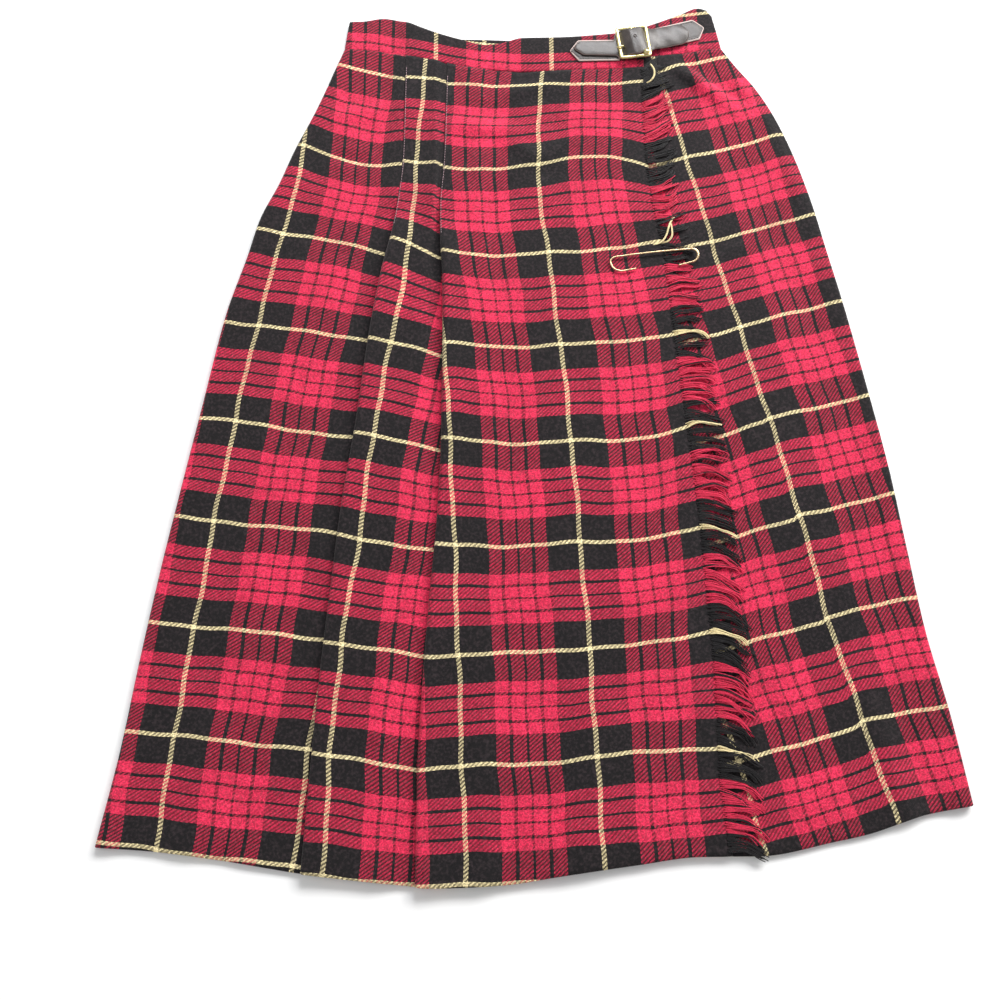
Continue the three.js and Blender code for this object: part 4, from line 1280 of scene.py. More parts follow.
@dataclass
class Columns:
    """Sections of a panel gathered column by column, from its first edge to its last."""

    down: Array
    xs: list[Array]
    zs: list[Array]

    def add(self, x: Number, z: Number) -> None:
        """Adds one column at a place across and a height for every row."""
        self.xs.append(np.broadcast_to(x, self.down.shape).astype(float))
        self.zs.append(np.broadcast_to(z, self.down.shape).astype(float))

    def grid(self, y_at: Profile) -> tuple[Array, Array, Array, Array]:
        """Gives x, y and z of every point, and its distance along the cloth in its row."""
        x, z = (np.stack(parts, axis=1) for parts in (self.xs, self.zs))
        y = np.stack([y_at(column) for column in self.xs], axis=1)
        run = np.cumsum(np.hypot(np.diff(x, axis=1), np.diff(z, axis=1)), axis=1)
        return x, y, z, np.concatenate([np.zeros((len(x), 1)), run], axis=1)

    def turn(self, x: Number, inward: int, lower: Number, upper: Number, steps: int,
             backwards: bool = False) -> None:
        """Adds the arc of a turned edge between two layers.

        Args:
            x: Place of the fold's outermost line.
            inward: 1 where the cloth lies to the right of the fold, -1 to the left.
            lower: Height of the lower layer.
            upper: Height of the upper layer.
            steps: How many steps the arc has.
            backwards: Whether it runs from the upper layer to the lower one.
        """
        radius = (upper - lower) / 2
        angles = np.linspace(-math.pi / 2, math.pi / 2, steps + 1)
        for angle in angles[::-1] if backwards else angles:
            out = math.cos(angle) * radius
            self.add(x + inward * (radius - out), lower + radius + math.sin(angle) * radius)


@dataclass
class Cloth:
    """The skirt's panels, each a closed wall of cloth laid over the ones below."""

    wardrobe: Wardrobe
    rows: int = 221
    arc: int = 12

    def __post_init__(self) -> None:
        """Sets the rows that every panel shares."""
        self.down = np.linspace(0, 1, self.rows)

    def wall(self, columns: Columns, y_at: Profile, check: Check,
             first: int, last: int) -> Wall:
        """Makes a panel's wall from its columns.

        Args:
            columns: The panel's sections.
            y_at: Place along Y of each place across.
            check: Where the check lies on the panel's upper face.
            first: The first column of the upper face.
            last: The last column of the upper face.

        Returns:
            The wall, with the check carried on round its turned edges.
        """
        x, y, z, along_cloth = columns.grid(y_at)
        s, t = check.at(x, y)
        for c in list(range(first)) + list(range(last + 1, x.shape[1])):
            near = first if c < first else last
            s[:, c] = s[:, near] + (along_cloth[:, c] - along_cloth[:, near]) / REPEAT
            t[:, c] = t[:, near]
        points = np.stack([x, y, z], axis=2)
        return Wall(points, np.stack([s, t], axis=2), np.full(x.shape, CLOTH))

    @staticmethod
    def spread(columns: Columns, top_at: Profile,
               stops: Sequence[tuple[Number, int]]) -> None:
        """Adds the columns of an upper face.

        Args:
            columns: The sections so far, which end where the upper face starts.
            top_at: Height of the face at each place across.
            stops: Where each stretch of the face ends and how many columns it has.
        """
        start = columns.xs[-1]
        for stop, count in stops:
            for share in np.linspace(0, 1, count + 1)[1:]:
                x = mix(start, stop, share)
                columns.add(x, top_at(x))
            start = stop

    @staticmethod
    def pressed(fold: Array, down: Array, x: Array) -> Array:
        """Gives how far a layer is pressed up to lie level beside a fold that is sewn down."""
        rise = smooth(-PRESS_RUN, -PRESS_END - 1, x - fold)
        fall = 1 - smooth(-PRESS_END, 0.2, x - fold)
        return PRESS * rise * fall * (1 - smooth(RELEASE - 0.03, RELEASE + 0.012, down))

    def left_front(self) -> Wall:
        """Makes the left stretch, from under the left side to the inner crease of pleat A."""
        down = self.down
        left, fold = edge("left", down), edge("pleat_a", down)
        end = fold + depth_a(down)
        first, last = EDGES[0], EDGES[-1]

        def y_at(x: Array) -> Array:
            share = (x - left) / (end - left)
            x0 = mix(first.left, first.pleat_a + depth_a(0), share)
            x1 = mix(last.left, last.pleat_a + depth_a(1), share)
            return drop(x0, x1, down)

        def top_at(x: Array) -> Array:
            roll = side_roll(down) * np.exp(-((x - left) / 16) ** 2)
            hidden = smooth(fold - 14, fold - 1, x)
            loose = lift(x, y_at(x), hidden) * smooth(0, 10, x - left)
            return layer_height(1) + roll + loose + self.pressed(fold, down, x)

        columns = Columns(down, [], [])
        radius = (top_at(left) - layer_height(0)) / 2
        for share in np.linspace(1, 0, 9)[:-1]:
            columns.add(left + mix(radius, SIDE_TURN, share), layer_height(0))
        columns.turn(left, 1, layer_height(0), top_at(left), self.arc)
        first_top = len(columns.xs) - 1
        self.spread(columns, top_at, ((fold - PRESS_RUN / 2, 46), (fold + 1.5, 16), (end, 10)))
        return self.wall(columns, y_at, LEFT_CHECK, first_top, len(columns.xs) - 1)

    def pleat_panel(self) -> Wall:
        """Makes the stretch with pleat A's folded edge, to the inner crease of pleat B."""
        down = self.down
        fold, following = edge("pleat_a", down), edge("pleat_b", down)
        crease = fold + depth_a(down)
        end = following + depth_b(down)
        first, last = EDGES[0], EDGES[-1]
        crest = along(PLEAT_CREST, "down", "pleat_a", down)

        def y_at(x: Array) -> Array:
            share = (x - fold) / (end - fold)
            x0 = mix(first.pleat_a, first.pleat_b + depth_b(0), share)
            x1 = mix(last.pleat_a, last.pleat_b + depth_b(1), share)
            return drop(x0, x1, down)

        def top_at(x: Array) -> Array:
            fall = LAYER * 2 * smooth(crease + 1, following - 3, x)
            rise = crest * np.exp(-((x - fold) / 17) ** 2)
            hidden = smooth(following - 14, following - 2, x)
            level = layer_height(3) - fall + rise + lift(x, y_at(x), hidden)
            return level + self.pressed(following, down, x)

        stops = ((following - PRESS_RUN / 2, 30), (following + 1.5, 16), (end, 10))
        return self.folded(y_at, top_at, fold, crease, stops, PLEAT_CHECK)

    def over_apron(self) -> Wall:
        """Makes the front panel with pleat B's folded edge, to the fringed edge."""
        down = self.down
        fold, end = edge("pleat_b", down), edge("fringe", down)
        crease = fold + depth_b(down)
        first, last = EDGES[0], EDGES[-1]
        crest = along(PLEAT_CREST, "down", "pleat_b", down)

        def y_at(x: Array) -> Array:
            share = (x - fold) / (end - fold)
            return drop(mix(first.pleat_b, first.fringe, share),
                        mix(last.pleat_b, last.fringe, share), down)

        def top_at(x: Array) -> Array:
            fall = LAYER * smooth(crease + 1, crease + 18, x)
            rise = crest * np.exp(-((x - fold) / 19) ** 2)
            return layer_height(3) - fall + rise + lift(x, y_at(x))

        wall = self.folded(y_at, top_at, fold, crease, ((end, 78),), OVER_CHECK)
        wall.thick[:, -2:] *= np.array([0.8, 0.5])
        return wall

    def folded(self, y_at: Profile, top_at: Profile,
               fold: Array, crease: Array, stops: Sequence[tuple[Number, int]],
               check: Check) -> Wall:
        """Makes a panel that starts in the crease under a pleat and turns over its edge.

        Args:
            y_at: Place along Y of each place across.
            top_at: Height of the upper face at each place across.
            fold: Place of the folded edge.
            crease: Place of the inner crease under the fold.
            stops: Where each stretch of the upper face ends and how many columns it has.
            check: Where the check lies.

        Returns:
            The panel's wall.
        """
        columns = Columns(self.down, [], [])

        def under(x: Array) -> Array:
            return layer_height(2) + lift(x, y_at(x))

        radius = (top_at(fold) - under(fold)) / 2
        for share in np.linspace(1, 0, 11)[:-1]:
            x = mix(fold + radius, crease, share)
            columns.add(x, under(x))
        columns.turn(fold, 1, under(fold), top_at(fold), self.arc)
        first_top = len(columns.xs) - 1
        self.spread(columns, top_at, stops)
        return self.wall(columns, y_at, check, first_top, len(columns.xs) - 1)

    def under_apron(self) -> Wall:
        """Makes the right stretch, from its free edge under the over apron round the side."""
        down = self.down
        start = edge("pleat_b", down) + depth_b(down) + TUCK
        right, fringe = edge("right", down), edge("fringe", down)
        first, last = EDGES[0], EDGES[-1]

        def y_at(x: Array) -> Array:
            share = (x - start) / (right - start)
            tucked = 1 - smooth(fringe - 12, fringe + 2, x)
            return drop(mix(first.pleat_b + depth_b(0) + TUCK, first.right, share),
                        mix(last.pleat_b + depth_b(1) + TUCK, last.right, share),
                        down, UNDER_SEAM, 2.5 * tucked)

        def top_at(x: Array) -> Array:
            roll = side_roll(down) * np.exp(-((right - x) / 16) ** 2)
            hidden = 1 - smooth(fringe + 2, fringe + 12, x)
            return layer_height(1) + roll + lift(x, y_at(x), hidden) * smooth(0, 10, right - x)

        columns = Columns(down, [], [])
        radius = (top_at(right) - layer_height(0)) / 2
        for share in np.linspace(0, 1, 96)[:-1]:
            x = mix(start, right - radius, share)
            columns.add(x, top_at(x))
        last_top = len(columns.xs)
        columns.turn(right, -1, layer_height(0), top_at(right), self.arc, backwards=True)
        for share in np.linspace(0, 1, 9)[1:]:
            columns.add(right - mix(radius, SIDE_TURN, share), layer_height(0))
        return self.wall(columns, y_at, UNDER_CHECK, 0, last_top)

    def back_panel(self) -> Wall:
        """Makes the flat back between the two side turns."""
        down = np.linspace(0, 1, 111)
        gap = SIDE_TURN + SEAM
        left, right = edge("left", down) + gap, edge("right", down) - gap
        share = np.linspace(0, 1, 101)
        x = mix(left[:, None], right[:, None], share[None, :])
        seam = back_seam(mix(left[0], right[0], share))
        hem = along(HEM, "x", "y", mix(left[-1], right[-1], share))
        y = mix(seam[None, :], hem[None, :], down[:, None])
        points = np.stack([x, y, np.full(x.shape, CLOTH / 2)], axis=2)
        check = np.stack([(x - BACK_KNOT.x) / REPEAT, (BACK_KNOT.y - y) / ROW], axis=2)
        return Wall(points, check, np.full(x.shape, CLOTH))

    def build(self) -> None:
        for cut in (
            Cut("back_panel", self.back_panel(), (0.69, 0.78), 0.372, ("floor",)),
            Cut("left_front", self.left_front(), (0.26, 0.78), 0.150, ("back_panel",)),
            Cut("under_apron", self.under_apron(), (0.43, 0.76), 0.290, ("back_panel",)),
            Cut("pleat_panel", self.pleat_panel(), (0.20, 0.76), 0.118, ("left_front",)),
            Cut("over_apron", self.over_apron(), (0.31, 0.79), 0.206, ("under_apron",)),
        ):
            cut.dress(self.wardrobe.tartan)


class Cut(NamedTuple):
    """A piece of cloth, the size it was cut to and what it lies on."""

    name: str
    wall: Wall
    flat: tuple[float, float]
    area: float
    on: tuple[str, ...]

    def dress(self, material: Material) -> None:
        """Builds the piece in place of its solid."""
        piece = new_object("cloth_" + self.name, self.wall.build("cloth_" + self.name), material)
        attach(piece, "tartan", self.name)
        on = ["cloth_" + name if name != "floor" else name for name in self.on]
        LOG.info("%s: %.3f square metres of cloth", self.name, self.wall.area())


def back_seam(x: Number) -> Array:
    """Gives the seam between back and waistband, level with the front's at either side."""
    front = along(WAIST_SEAM, "x", "y", x)
    return mix(front, along(UNDER_SEAM, "x", "y", x), smooth(60, 130, x))


# ---- waistband ----


@dataclass
class Waistband:
    """The folded waistband in its three stretches."""

    wardrobe: Wardrobe
    rows: int = 19
    arc: int = 10
    seam_place: float = 0.477  # where the seam cuts the check, in repeats
    back_place: float = 0.36  # the same on the back stretch
    left_top: float = -173.0  # the band's left end along its upper edge
    right_top: float = 175.5  # its right end there
    front_end: float = 107.5  # where the front stretch stops
    front_line: float = 20.5  # yellow line down the front stretch
    front_repeat: float = 110.0
    under_line: float = 82.0  # the same on the under apron's stretch
    puff: float = 0.5  # how far the folded band swells between its edges

    def section(self, columns: Columns, y_at: Profile, seam_at: Callable,
                thick_at: Profile, line: float, repeat: float,
                seam_place: float) -> Wall:
        """Makes a stretch of band from its columns.

        Args:
            columns: The stretch's sections, with the share up in place of the share down.
            y_at: Place along Y of each place across.
            seam_at: Place along Y of the seam below each place across.
            thick_at: Thickness at each place across.
            line: Place across of the yellow line down the band.
            repeat: Repeat of the check across the band.
            seam_place: Where the seam cuts the check, in repeats.

        Returns:
            The stretch's wall.
        """
        x, y, z, cloth = columns.grid(y_at)
        flat = np.argmin(np.abs(x[-1]))
        s = (x[:, flat:flat + 1] + cloth - cloth[:, flat:flat + 1] - line) / repeat
        up = columns.down[:, None]
        t = seam_place - (y - seam_at(x)) / ROW
        soft = self.puff * np.sin(np.pi * np.clip(up, 0, 1)) ** 0.6
        thick = thick_at(x) - self.puff + soft
        points = np.stack([x, y, z], axis=2)
        return Wall(points, np.stack([s, t], axis=2), thick, rim=0.36)

    def front(self) -> Wall:
        """Makes the front stretch, round the left side and over the pleats."""
        up = np.linspace(1, 0, self.rows)
        left = mix(EDGES[0].left, self.left_top, up)
        columns = Columns(up, [], [])

        def seam_at(x: Array) -> Array:
            return along(WAIST_SEAM, "x", "y", x)

        def y_at(x: Array) -> Array:
            return mix(seam_at(x) + SEAM, along(BAND_TOP, "x", "y", x), up)

        def middle(x: Array) -> Array:
            over, under = (along(FRONT_BAND, "x", face, x) for face in ("over", "under"))
            return (over + under) / 2

        def thick_at(x: Array) -> Array:
            body = along(FRONT_BAND, "x", "over", x) - along(FRONT_BAND, "x", "under", x)
            return np.where(np.arange(x.shape[1])[None, :] < turned, BAND, body)

        radius = (middle(left) - BACK_BAND_MIDDLE) / 2
        for share in (1.0, 0.66, 0.33):
            columns.add(left + mix(radius, SIDE_TURN, share), BACK_BAND_MIDDLE)
        columns.turn(left, 1, BACK_BAND_MIDDLE, middle(left), self.arc)
        turned = len(columns.xs)
        start = columns.xs[-1]
        for share in np.linspace(0, 1, 96)[1:]:
            x = mix(start, self.front_end, share)
            columns.add(x, middle(x))
        return self.section(columns, y_at, seam_at, thick_at, self.front_line,
                            self.front_repeat, self.seam_place)

    def under(self) -> Wall:
        """Makes the stretch on the under apron, round the right side."""
        up = np.linspace(1, 0, self.rows)
        right = mix(EDGES[0].right, self.right_top, up)
        columns = Columns(up, [], [])

        def seam_at(x: Array) -> Array:
            return along(UNDER_SEAM, "x", "y", x)

        def y_at(x: Array) -> Array:
            top = along(UNDER_BAND_TOP, "x", "y", x) - 3 * (1 - smooth(95, 112, x))
            return mix(seam_at(x) + SEAM, top, up)

        radius = (UNDER_BAND_MIDDLE - BACK_BAND_MIDDLE) / 2
        start = EDGES[0].pleat_b + depth_b(0) + TUCK
        for share in np.linspace(0, 1, 61)[:-1]:
            columns.add(mix(start, right - radius, share), UNDER_BAND_MIDDLE)
        columns.turn(right, -1, BACK_BAND_MIDDLE, UNDER_BAND_MIDDLE, self.arc, backwards=True)
        for share in (0.33, 0.66, 1.0):
            columns.add(right - mix(radius, SIDE_TURN, share), BACK_BAND_MIDDLE)
        return self.section(columns, y_at, seam_at, lambda x: np.full(x.shape, BAND),
                            self.under_line, REPEAT, self.seam_place)

    def back(self) -> Wall:
        """Makes the flat back stretch."""
        up = np.linspace(1, 0, self.rows)
        gap = SIDE_TURN + SEAM
        left = mix(EDGES[0].left, self.left_top, up) + gap
        right = mix(EDGES[0].right, self.right_top, up) - gap
        columns = Columns(up, [], [])

        def y_at(x: Array) -> Array:
            return mix(back_seam(x) + SEAM, along(BACK_BAND_TOP, "x", "y", x), up)

        for share in np.linspace(0, 1, 81):
            columns.add(mix(left, right, share), BACK_BAND_MIDDLE)
        return self.section(columns, y_at, back_seam, lambda x: np.full(x.shape, BAND),
                            BACK_KNOT.x, REPEAT, self.back_place)

    def build(self) -> None:
        """Makes the three stretches."""
        for cut in (
            Cut("waistband_back", self.back(), (0.31, 0.042), 0.0105, ("floor",)),
            Cut("waistband_under", self.under(), (0.27, 0.046), 0.0090, ("waistband_back",)),
            Cut("waistband_front", self.front(), (0.33, 0.042), 0.0112, ("waistband_under",)),
        ):
            cut.dress(self.wardrobe.tartan)


# ---- fringe ----


class Lie(NamedTuple):
    """How the locks lie by the share down: direction at root and tip in degrees, and reach."""

    down: float
    root: float
    tip: float
    reach: float


LOCK_LIE = (
    Lie(0.00, 12, 40, 0.95), Lie(0.10, 12, 52, 1.0), Lie(0.16, 0, 44, 0.95),
    Lie(0.23, -8, 40, 0.95), Lie(0.30, 6, 0, 0.9), Lie(0.36, 14, -14, 1.0),
    Lie(0.48, 14, -26, 1.05), Lie(0.62, 6, -40, 1.1), Lie(0.80, -8, -46, 1.15),
    Lie(1.00, -4, -40, 1.15),
)


@dataclass
class Fringe:
    """The over apron's frayed edge: combed locks of weft yarn, each row in its own colour."""

    wardrobe: Wardrobe
    locks: int = 116
    strands: int = 9
    gap: float = 0.1  # from the cloth's edge to the outermost roots
    ragged: float = 3.4  # how far back on the cloth the innermost roots lie
    length: float = 29.5
    start: float = 0.004
    stop: float = 0.997
    radius: float = 0.38
    points: int = 13
    bundle: float = 4.6
    run: float = 730.0  # length of the fringed edge
    swing: float = 22.0  # how far locks turn from their usual direction, degrees
    bend: float = 18.0  # how far their tips turn besides
    wave: float = 16.0  # how far they wave
    own_lock: int = 500  # number of the first yellow bundle's own lock
    tuft_ends: int = 34  # black ends at the top
    tuft_row: float = 0.12  # the row that they belong to
    curled: float = 2.5  # row down to which the yellow bundles are curled up

    def station(self, share: Number) -> tuple[Array, Array, Array, Array]:
        """Gives the share down, place and height of the apron's edge at a share of the fringe."""
        down = mix(self.start, self.stop, share)
        x = edge("fringe", down)
        y = drop(EDGES[0].fringe, EDGES[-1].fringe, down)
        return down, x, y, layer_height(2) + lift(x, y)

    def path(self, lock: int, down: float) -> tuple[Array, Array, float]:
        """Gives the way that a lock's strands share, from the root.

        Args:
            lock: The lock's number.
            down: Its share down.

        Returns:
            Places across and along from the root for each point of a strand, and how high
            the lock arches.
        """
        first, last, reach = (float(along(LOCK_LIE, "down", column, down))
                              for column in ("root", "tip", "reach"))
        u = np.linspace(0, 1, self.points)
        swing = (scatter(lock, 1) - 0.5) * self.swing
        bend = (scatter(lock, 4) - 0.5) * self.bend
        turns = u * mix(0.7, 1.3, scatter(lock, 5)) + scatter(lock, 6)
        wave = self.wave * np.sin(2 * np.pi * turns)
        angle = np.radians(mix(first + swing, last + swing + bend, u ** 1.3) + wave * u)
        step = self.length * reach * mix(0.86, 1.08, scatter(lock, 2)) / (self.points - 1)
        x = np.concatenate([[0.0], np.cumsum(np.cos(angle[1:]) * step)])
        y = np.concatenate([[0.0], np.cumsum(np.sin(angle[1:]) * step)])
        return x, y, mix(0.6, 3.0, scatter(lock, 3) ** 1.5)

    def strand(self, n: int, k: int, rng: np.random.Generator) -> tuple[Array, float]:
        """Lays one strand of a lock.

        Args:
            n: The lock's number down the edge.
            k: The strand's number in its lock.
            rng: Where its unevenness comes from.

        Returns:
            The strand's points and its row of the check.
        """
        share = (n + (k + 0.5) / self.strands) / self.locks
        down, root_x, root_y, root_z = (float(v) for v in self.station(share))
        row = float(OVER_CHECK.at(np.array([root_x]), np.array([root_y]))[1][0])
        off_row = row - round(row)
        is_yellow = abs(off_row) * 2 * Yarn.half < self.bundle
        lock = self.own_lock + round(row) if is_yellow else n
        x, y, arch = self.path(lock, down)
        u = np.linspace(0, 1, self.points)
        long = rng.uniform(0.80, 1.06)
        aside = off_row * ROW if is_yellow else ((k + 0.5) / self.strands - 0.5) * self.pitch()
        gather = (0.80 if is_yellow else 0.34) * smooth(0.0, 0.5, u) * (1 - 0.3 * u)
        spread = rng.normal(0, 0.16 if is_yellow else 0.45) * u ** 1.4
        crimp = rng.uniform(0.05, 0.22) * np.minimum(1, 3 * u)
        wave = crimp * np.sin(u * rng.uniform(18, 32) + rng.uniform(0, 6.3))
        x = root_x + self.gap - rng.uniform(0.0, self.ragged) + x * long - wave * 0.4
        y = root_y + y * long + aside * gather + spread + wave
        rest = layer_height(1) + lift(x, y) + CLOTH / 2 + self.radius + 0.05
        own = rng.uniform(0.0, 1.1) + (1.3 if is_yellow else 0.0)
        pile = (own + arch) * np.sin(math.pi * np.minimum(1, u * 0.94)) ** 0.8
        z = mix(root_z + CLOTH * 0.55, rest, smooth(0.08, 0.6, u)) + pile
        return np.stack([x, y, z], axis=1), float(round(row)) if is_yellow else row

    def pitch(self) -> float:
        """Gives how far apart the locks are along the edge."""
        return self.run / self.locks

    def build(self) -> None:
        """Makes the whole fringe as one piece."""
        rng = np.random.default_rng(SEED)
        lines, rows = [], []
        for n in range(self.locks):
            for k in range(self.strands):
                line, row = self.strand(n, k, rng)
                if row < self.curled and row == round(row):
                    continue
                lines.append(line)
                rows.append(row)
        for curl, row in self.tuft() + self.curls():
            lines.append(curl)
            rows.append(row)
        guide = guide_lines("fringe_lines", lines, rows)
        piece = yarn_tool().run(guide, "fringe_yarns", self.wardrobe.fringe,
                                radius=self.radius * MM, sides=5.0)
        attach(piece, "yarn", "apron_fringe")

    def tuft(self) -> list[tuple[Array, float]]:
        """Gives the black ends that fan up over the waistband's seam."""
        made = []
        for t in np.linspace(0, 1, self.tuft_ends):
            points = [(107.0, mix(333, 314, t), 6.4),
                      (mix(112, 118, t), mix(338, 315.5, t), 7.8),
                      (mix(122, 130, t) - 5 * math.sin(math.pi * t), mix(345.5, 318, t),
                       5.9 + 0.4 * math.sin(t * 90))]
            made.append((flowing(points, 12), self.tuft_row))
        return made

    def curls(self) -> list[tuple[Array, float]]:
        """Gives the loose yellow ends that curl up off the cloth."""
        upper = [(109, 316, 6.0), (113, 317, 8.0), (116.5, 321, 10.0), (116.8, 328, 10.5),
                 (114, 334.5, 9.5)]
        lower = [(110, 147.5, 6.5), (117, 149, 8.0), (121.5, 155, 9.5), (124, 163, 10.0),
                 (126.5, 169.5, 9.0), (129.5, 174, 8.0)]
        loop = [(117, 148.5, 7.0), (123, 149.5, 9.0), (126.5, 154, 10.0), (127, 162, 9.0),
                (126.5, 168, 8.0)]
        made = []
        for points, count in ((upper, 5), (lower, 4), (loop, 2)):
            for n in range(count):
                shift = np.array([0.55 * math.cos(n * 2.1), 0.45 * math.sin(n * 2.1), 0.12 * n])
                made.append((flowing(points, 16) + shift, 0.0))
        return made


# ---- strap and buckle ----


class TabPlace(NamedTuple):
    """Middle of a tab's square end, the height of its underside and its direction."""

    x: float
    y: float
    z: float
    turn: float


LEFT_TAB = TabPlace(84.5, 351.5, 7.2, math.pi + 0.02)
RIGHT_TAB = TabPlace(122.5, 366.4, 4.6, math.radians(15))
TAB_THICK = 1.4


class Rise(NamedTuple):
    """Middle height of the strap along its own run, in the buckle's frame."""

    x: float
    z: float


@dataclass
class Fastening:
    """Leather strap, its two tabs, and the brass buckle that it runs through."""

    wardrobe: Wardrobe
    turn: float = math.radians(12)
    at: tuple[float, float, float] = (99.0, 359.0, 11.0)
    width: float = 31.0
    height: float = 35.0
    bar: float = 3.4
    lean: float = math.radians(-5.0)  # how the frame sits turned on the strap
    thick: float = 2.6
    corner: float = 3.4
    knob: float = 3.2  # radius of the round knob at the frame's corner
    shift: tuple[float, float] = (-1.2, -1.6)  # from the strap's middle to the frame's
    strap_width: float = 27.2  # width of the strap inside the frame
    tongue_width: float = 21.6  # width of its stretch on the right tab
    tail_width: float = 14.6  # width of the strap's stretch on the left tab
    tail_drop: float = 4.0  # how far that stretch sits below the buckle's middle
    strap_thick: float = 1.8
    tab_width: float = 21.8
    tab_length: float = 46.0
    tab_point: float = 8.0
    rise: tuple[Rise, ...] = (
        Rise(-60, -1.2), Rise(-15.5, -1.2), Rise(-12.6, -1.2), Rise(-8, 1.4), Rise(-2.2, 3.8),
        Rise(2.2, 3.8), Rise(8, 2.4), Rise(12.6, -0.6), Rise(15.5, -1.0), Rise(26, -2.9),
        Rise(56, -3.7),
    )

    def place(self, mesh: Mesh) -> Mesh:
        """Moves a mesh made in the buckle's frame to where the buckle is."""
        return moved(mesh, *self.at, self.turn)

    def frame_ring(self) -> Mesh:
        """Makes the square frame, its middle bar and the round knob at its corner."""
        w, h = self.width / 2 - self.bar / 2, self.height / 2 - self.bar / 2
        r = self.corner - self.bar / 2
        path = []
        for cx, cy, first in ((w - r, h - r, 0), (r - w, h - r, 90), (r - w, r - h, 180),
                              (w - r, r - h, 270)):
            for angle in np.radians(np.linspace(first, first + 90, 9)):
                path.append((cx + r * math.cos(angle), cy + r * math.sin(angle), self.thick / 2))
        path = np.array(path)
        ring = tube("buckle_ring", path, np.full(len(path), self.bar / 2), 16, closed=True)
        squash = Matrix.Diagonal((1, 1, self.thick / self.bar, 1))
        ring.transform(Matrix.Translation((0, 0, self.thick / 2 * MM)) @ squash @
                       Matrix.Translation((0, 0, -self.thick / 2 * MM)))
        reach = h - self.bar * 0.2
        steps = np.linspace(-reach, reach, 9)
        middle = np.stack([np.zeros(9), steps, np.full(9, self.thick / 2)], axis=1)
        pivot = tube("buckle_pivot", middle, np.full(9, self.bar / 2 * 0.9), 14)
        knob = bmesh.new()
        bmesh.ops.create_uvsphere(knob, u_segments=24, v_segments=16, radius=self.knob * MM)
        ball = bpy.data.meshes.new("buckle_ball")
        knob.to_mesh(ball)
        knob.free()
        ball.transform(Matrix.Translation(((self.width / 2 - 5.4) * MM,
                                           (4.2 - self.height / 2) * MM,
                                           (self.thick - 0.4) * MM)))
        whole = joined("buckle", [ring, pivot, ball])
        return self.place(moved(whole, *self.shift, 0, self.lean))

    def prong(self) -> Mesh:
        """Makes the prong, from below the strap's arch to its rest on the left bar."""
        path = flowing([(-10.6, -5.4, -0.2), (-12.8, -5.6, 3.4), (-15.4, -5.8, 4.3),
                        (-18.0, -6.0, 3.7)], 12)
        return self.place(tube("prong", path, np.linspace(1.05, 0.75, 12), 12))

    def strap(self) -> Mesh:
        """Makes the strap from the left tab, through the buckle, to its rounded tongue."""
        xs = np.concatenate([np.linspace(-56, -17, 30), np.linspace(-16, 46, 80),
                             np.linspace(46.4, 53.6, 18)])
        across = np.array([1, .93, .84, .72, .58, .42, .22, 0, -.22, -.42, -.58, -.72, -.84, -.93, -1])
        slope = np.where(xs < -16, (xs + 16) * -math.tan(self.turn + 0.02), 0.0)
        bend = slope - self.tail_drop * smooth(-13, -18, xs)
        bend = bend - 2.6 * np.exp(-(xs / 6) ** 2) + 0.035 * np.maximum(0, xs - 14)
        end = np.maximum(0, (xs - 43) / 10.8)
        width = mix(self.tail_width, self.strap_width, smooth(-20, -15, xs))
        width = mix(width, self.tongue_width, smooth(12, 19, xs))
        half = width / 2 * np.sqrt(np.maximum(0.01, 1 - end ** 2.4))
        point = np.maximum(0, (-50 - xs) / 6)
        half = half * (1 - 0.75 * point)
        middle = along(self.rise, "x", "z", xs)
        points = np.zeros((len(across), len(xs), 3))
        points[..., 0] = xs[None, :]
        points[..., 1] = across[:, None] * half[None, :] + bend[None, :]
        wrinkle = 0.16 * np.sin(xs[None, :] * 0.42 + across[:, None] * 2.2) * (xs > -14)[None, :]
        crown = 1 - across[:, None] ** 2
        points[..., 2] = middle[None, :] + 0.9 * crown * smooth(-14, -6, xs)[None, :] + wrinkle
        body = 1 - 0.35 * np.abs(across[:, None]) ** 4
        thick = np.broadcast_to(self.strap_thick * body, points.shape[:2]).copy()
        wall = Wall(points, np.zeros((*points.shape[:2], 2)), thick, rim=0.5, edge_mark=0.5)
        return self.place(wall.build("strap"))

    def hole(self) -> Mesh:
        """Makes the punched hole in the strap's arch as a raised dark ring, painted shade where the
        hole is.
        """
        angles = np.linspace(0, 2 * math.pi, 24, endpoint=False)
        ring = np.stack([0.8 + 1.3 * np.cos(angles), 1.6 + 1.3 * np.sin(angles),
                         np.full(24, 5.6)], axis=1)
        return self.place(tube("strap_hole_shade", ring, np.full(24, 0.55), 8, closed=True))

    def tab(self, at: TabPlace, name: str) -> Mesh:
        """Makes a leather tab with a pointed end."""
        half = self.tab_width / 2
        length, point = self.tab_length, self.tab_point
        stops = np.concatenate([[0, 1.3], np.linspace(3, length - point, 22),
                                np.linspace(length - point + 0.5, length - 1.2, 10),
                                [length - 0.3]])
        inner = np.linspace(0.89, -0.89, 15)
        across = np.concatenate([[1], inner, [-1]])
        narrow = 1 - np.maximum(0, stops - (length - point)) / point
        inset = np.minimum(1.0, narrow + 0.02)
        points = np.zeros((len(across), len(stops), 3))
        points[..., 0] = stops[None, :]
        points[..., 1] = across[:, None] * half * inset[None, :]
        points[..., 2] = TAB_THICK / 2
        thick = np.full(points.shape[:2], TAB_THICK)
        points[..., 2] -= 0.35 * np.exp(-((np.abs(across)[:, None] - 0.78) / 0.1) ** 2)
        wall = Wall(points, np.zeros((*points.shape[:2], 2)), thick, rim=0.45, edge_mark=1.0)
        return moved(wall.build(name), *at)

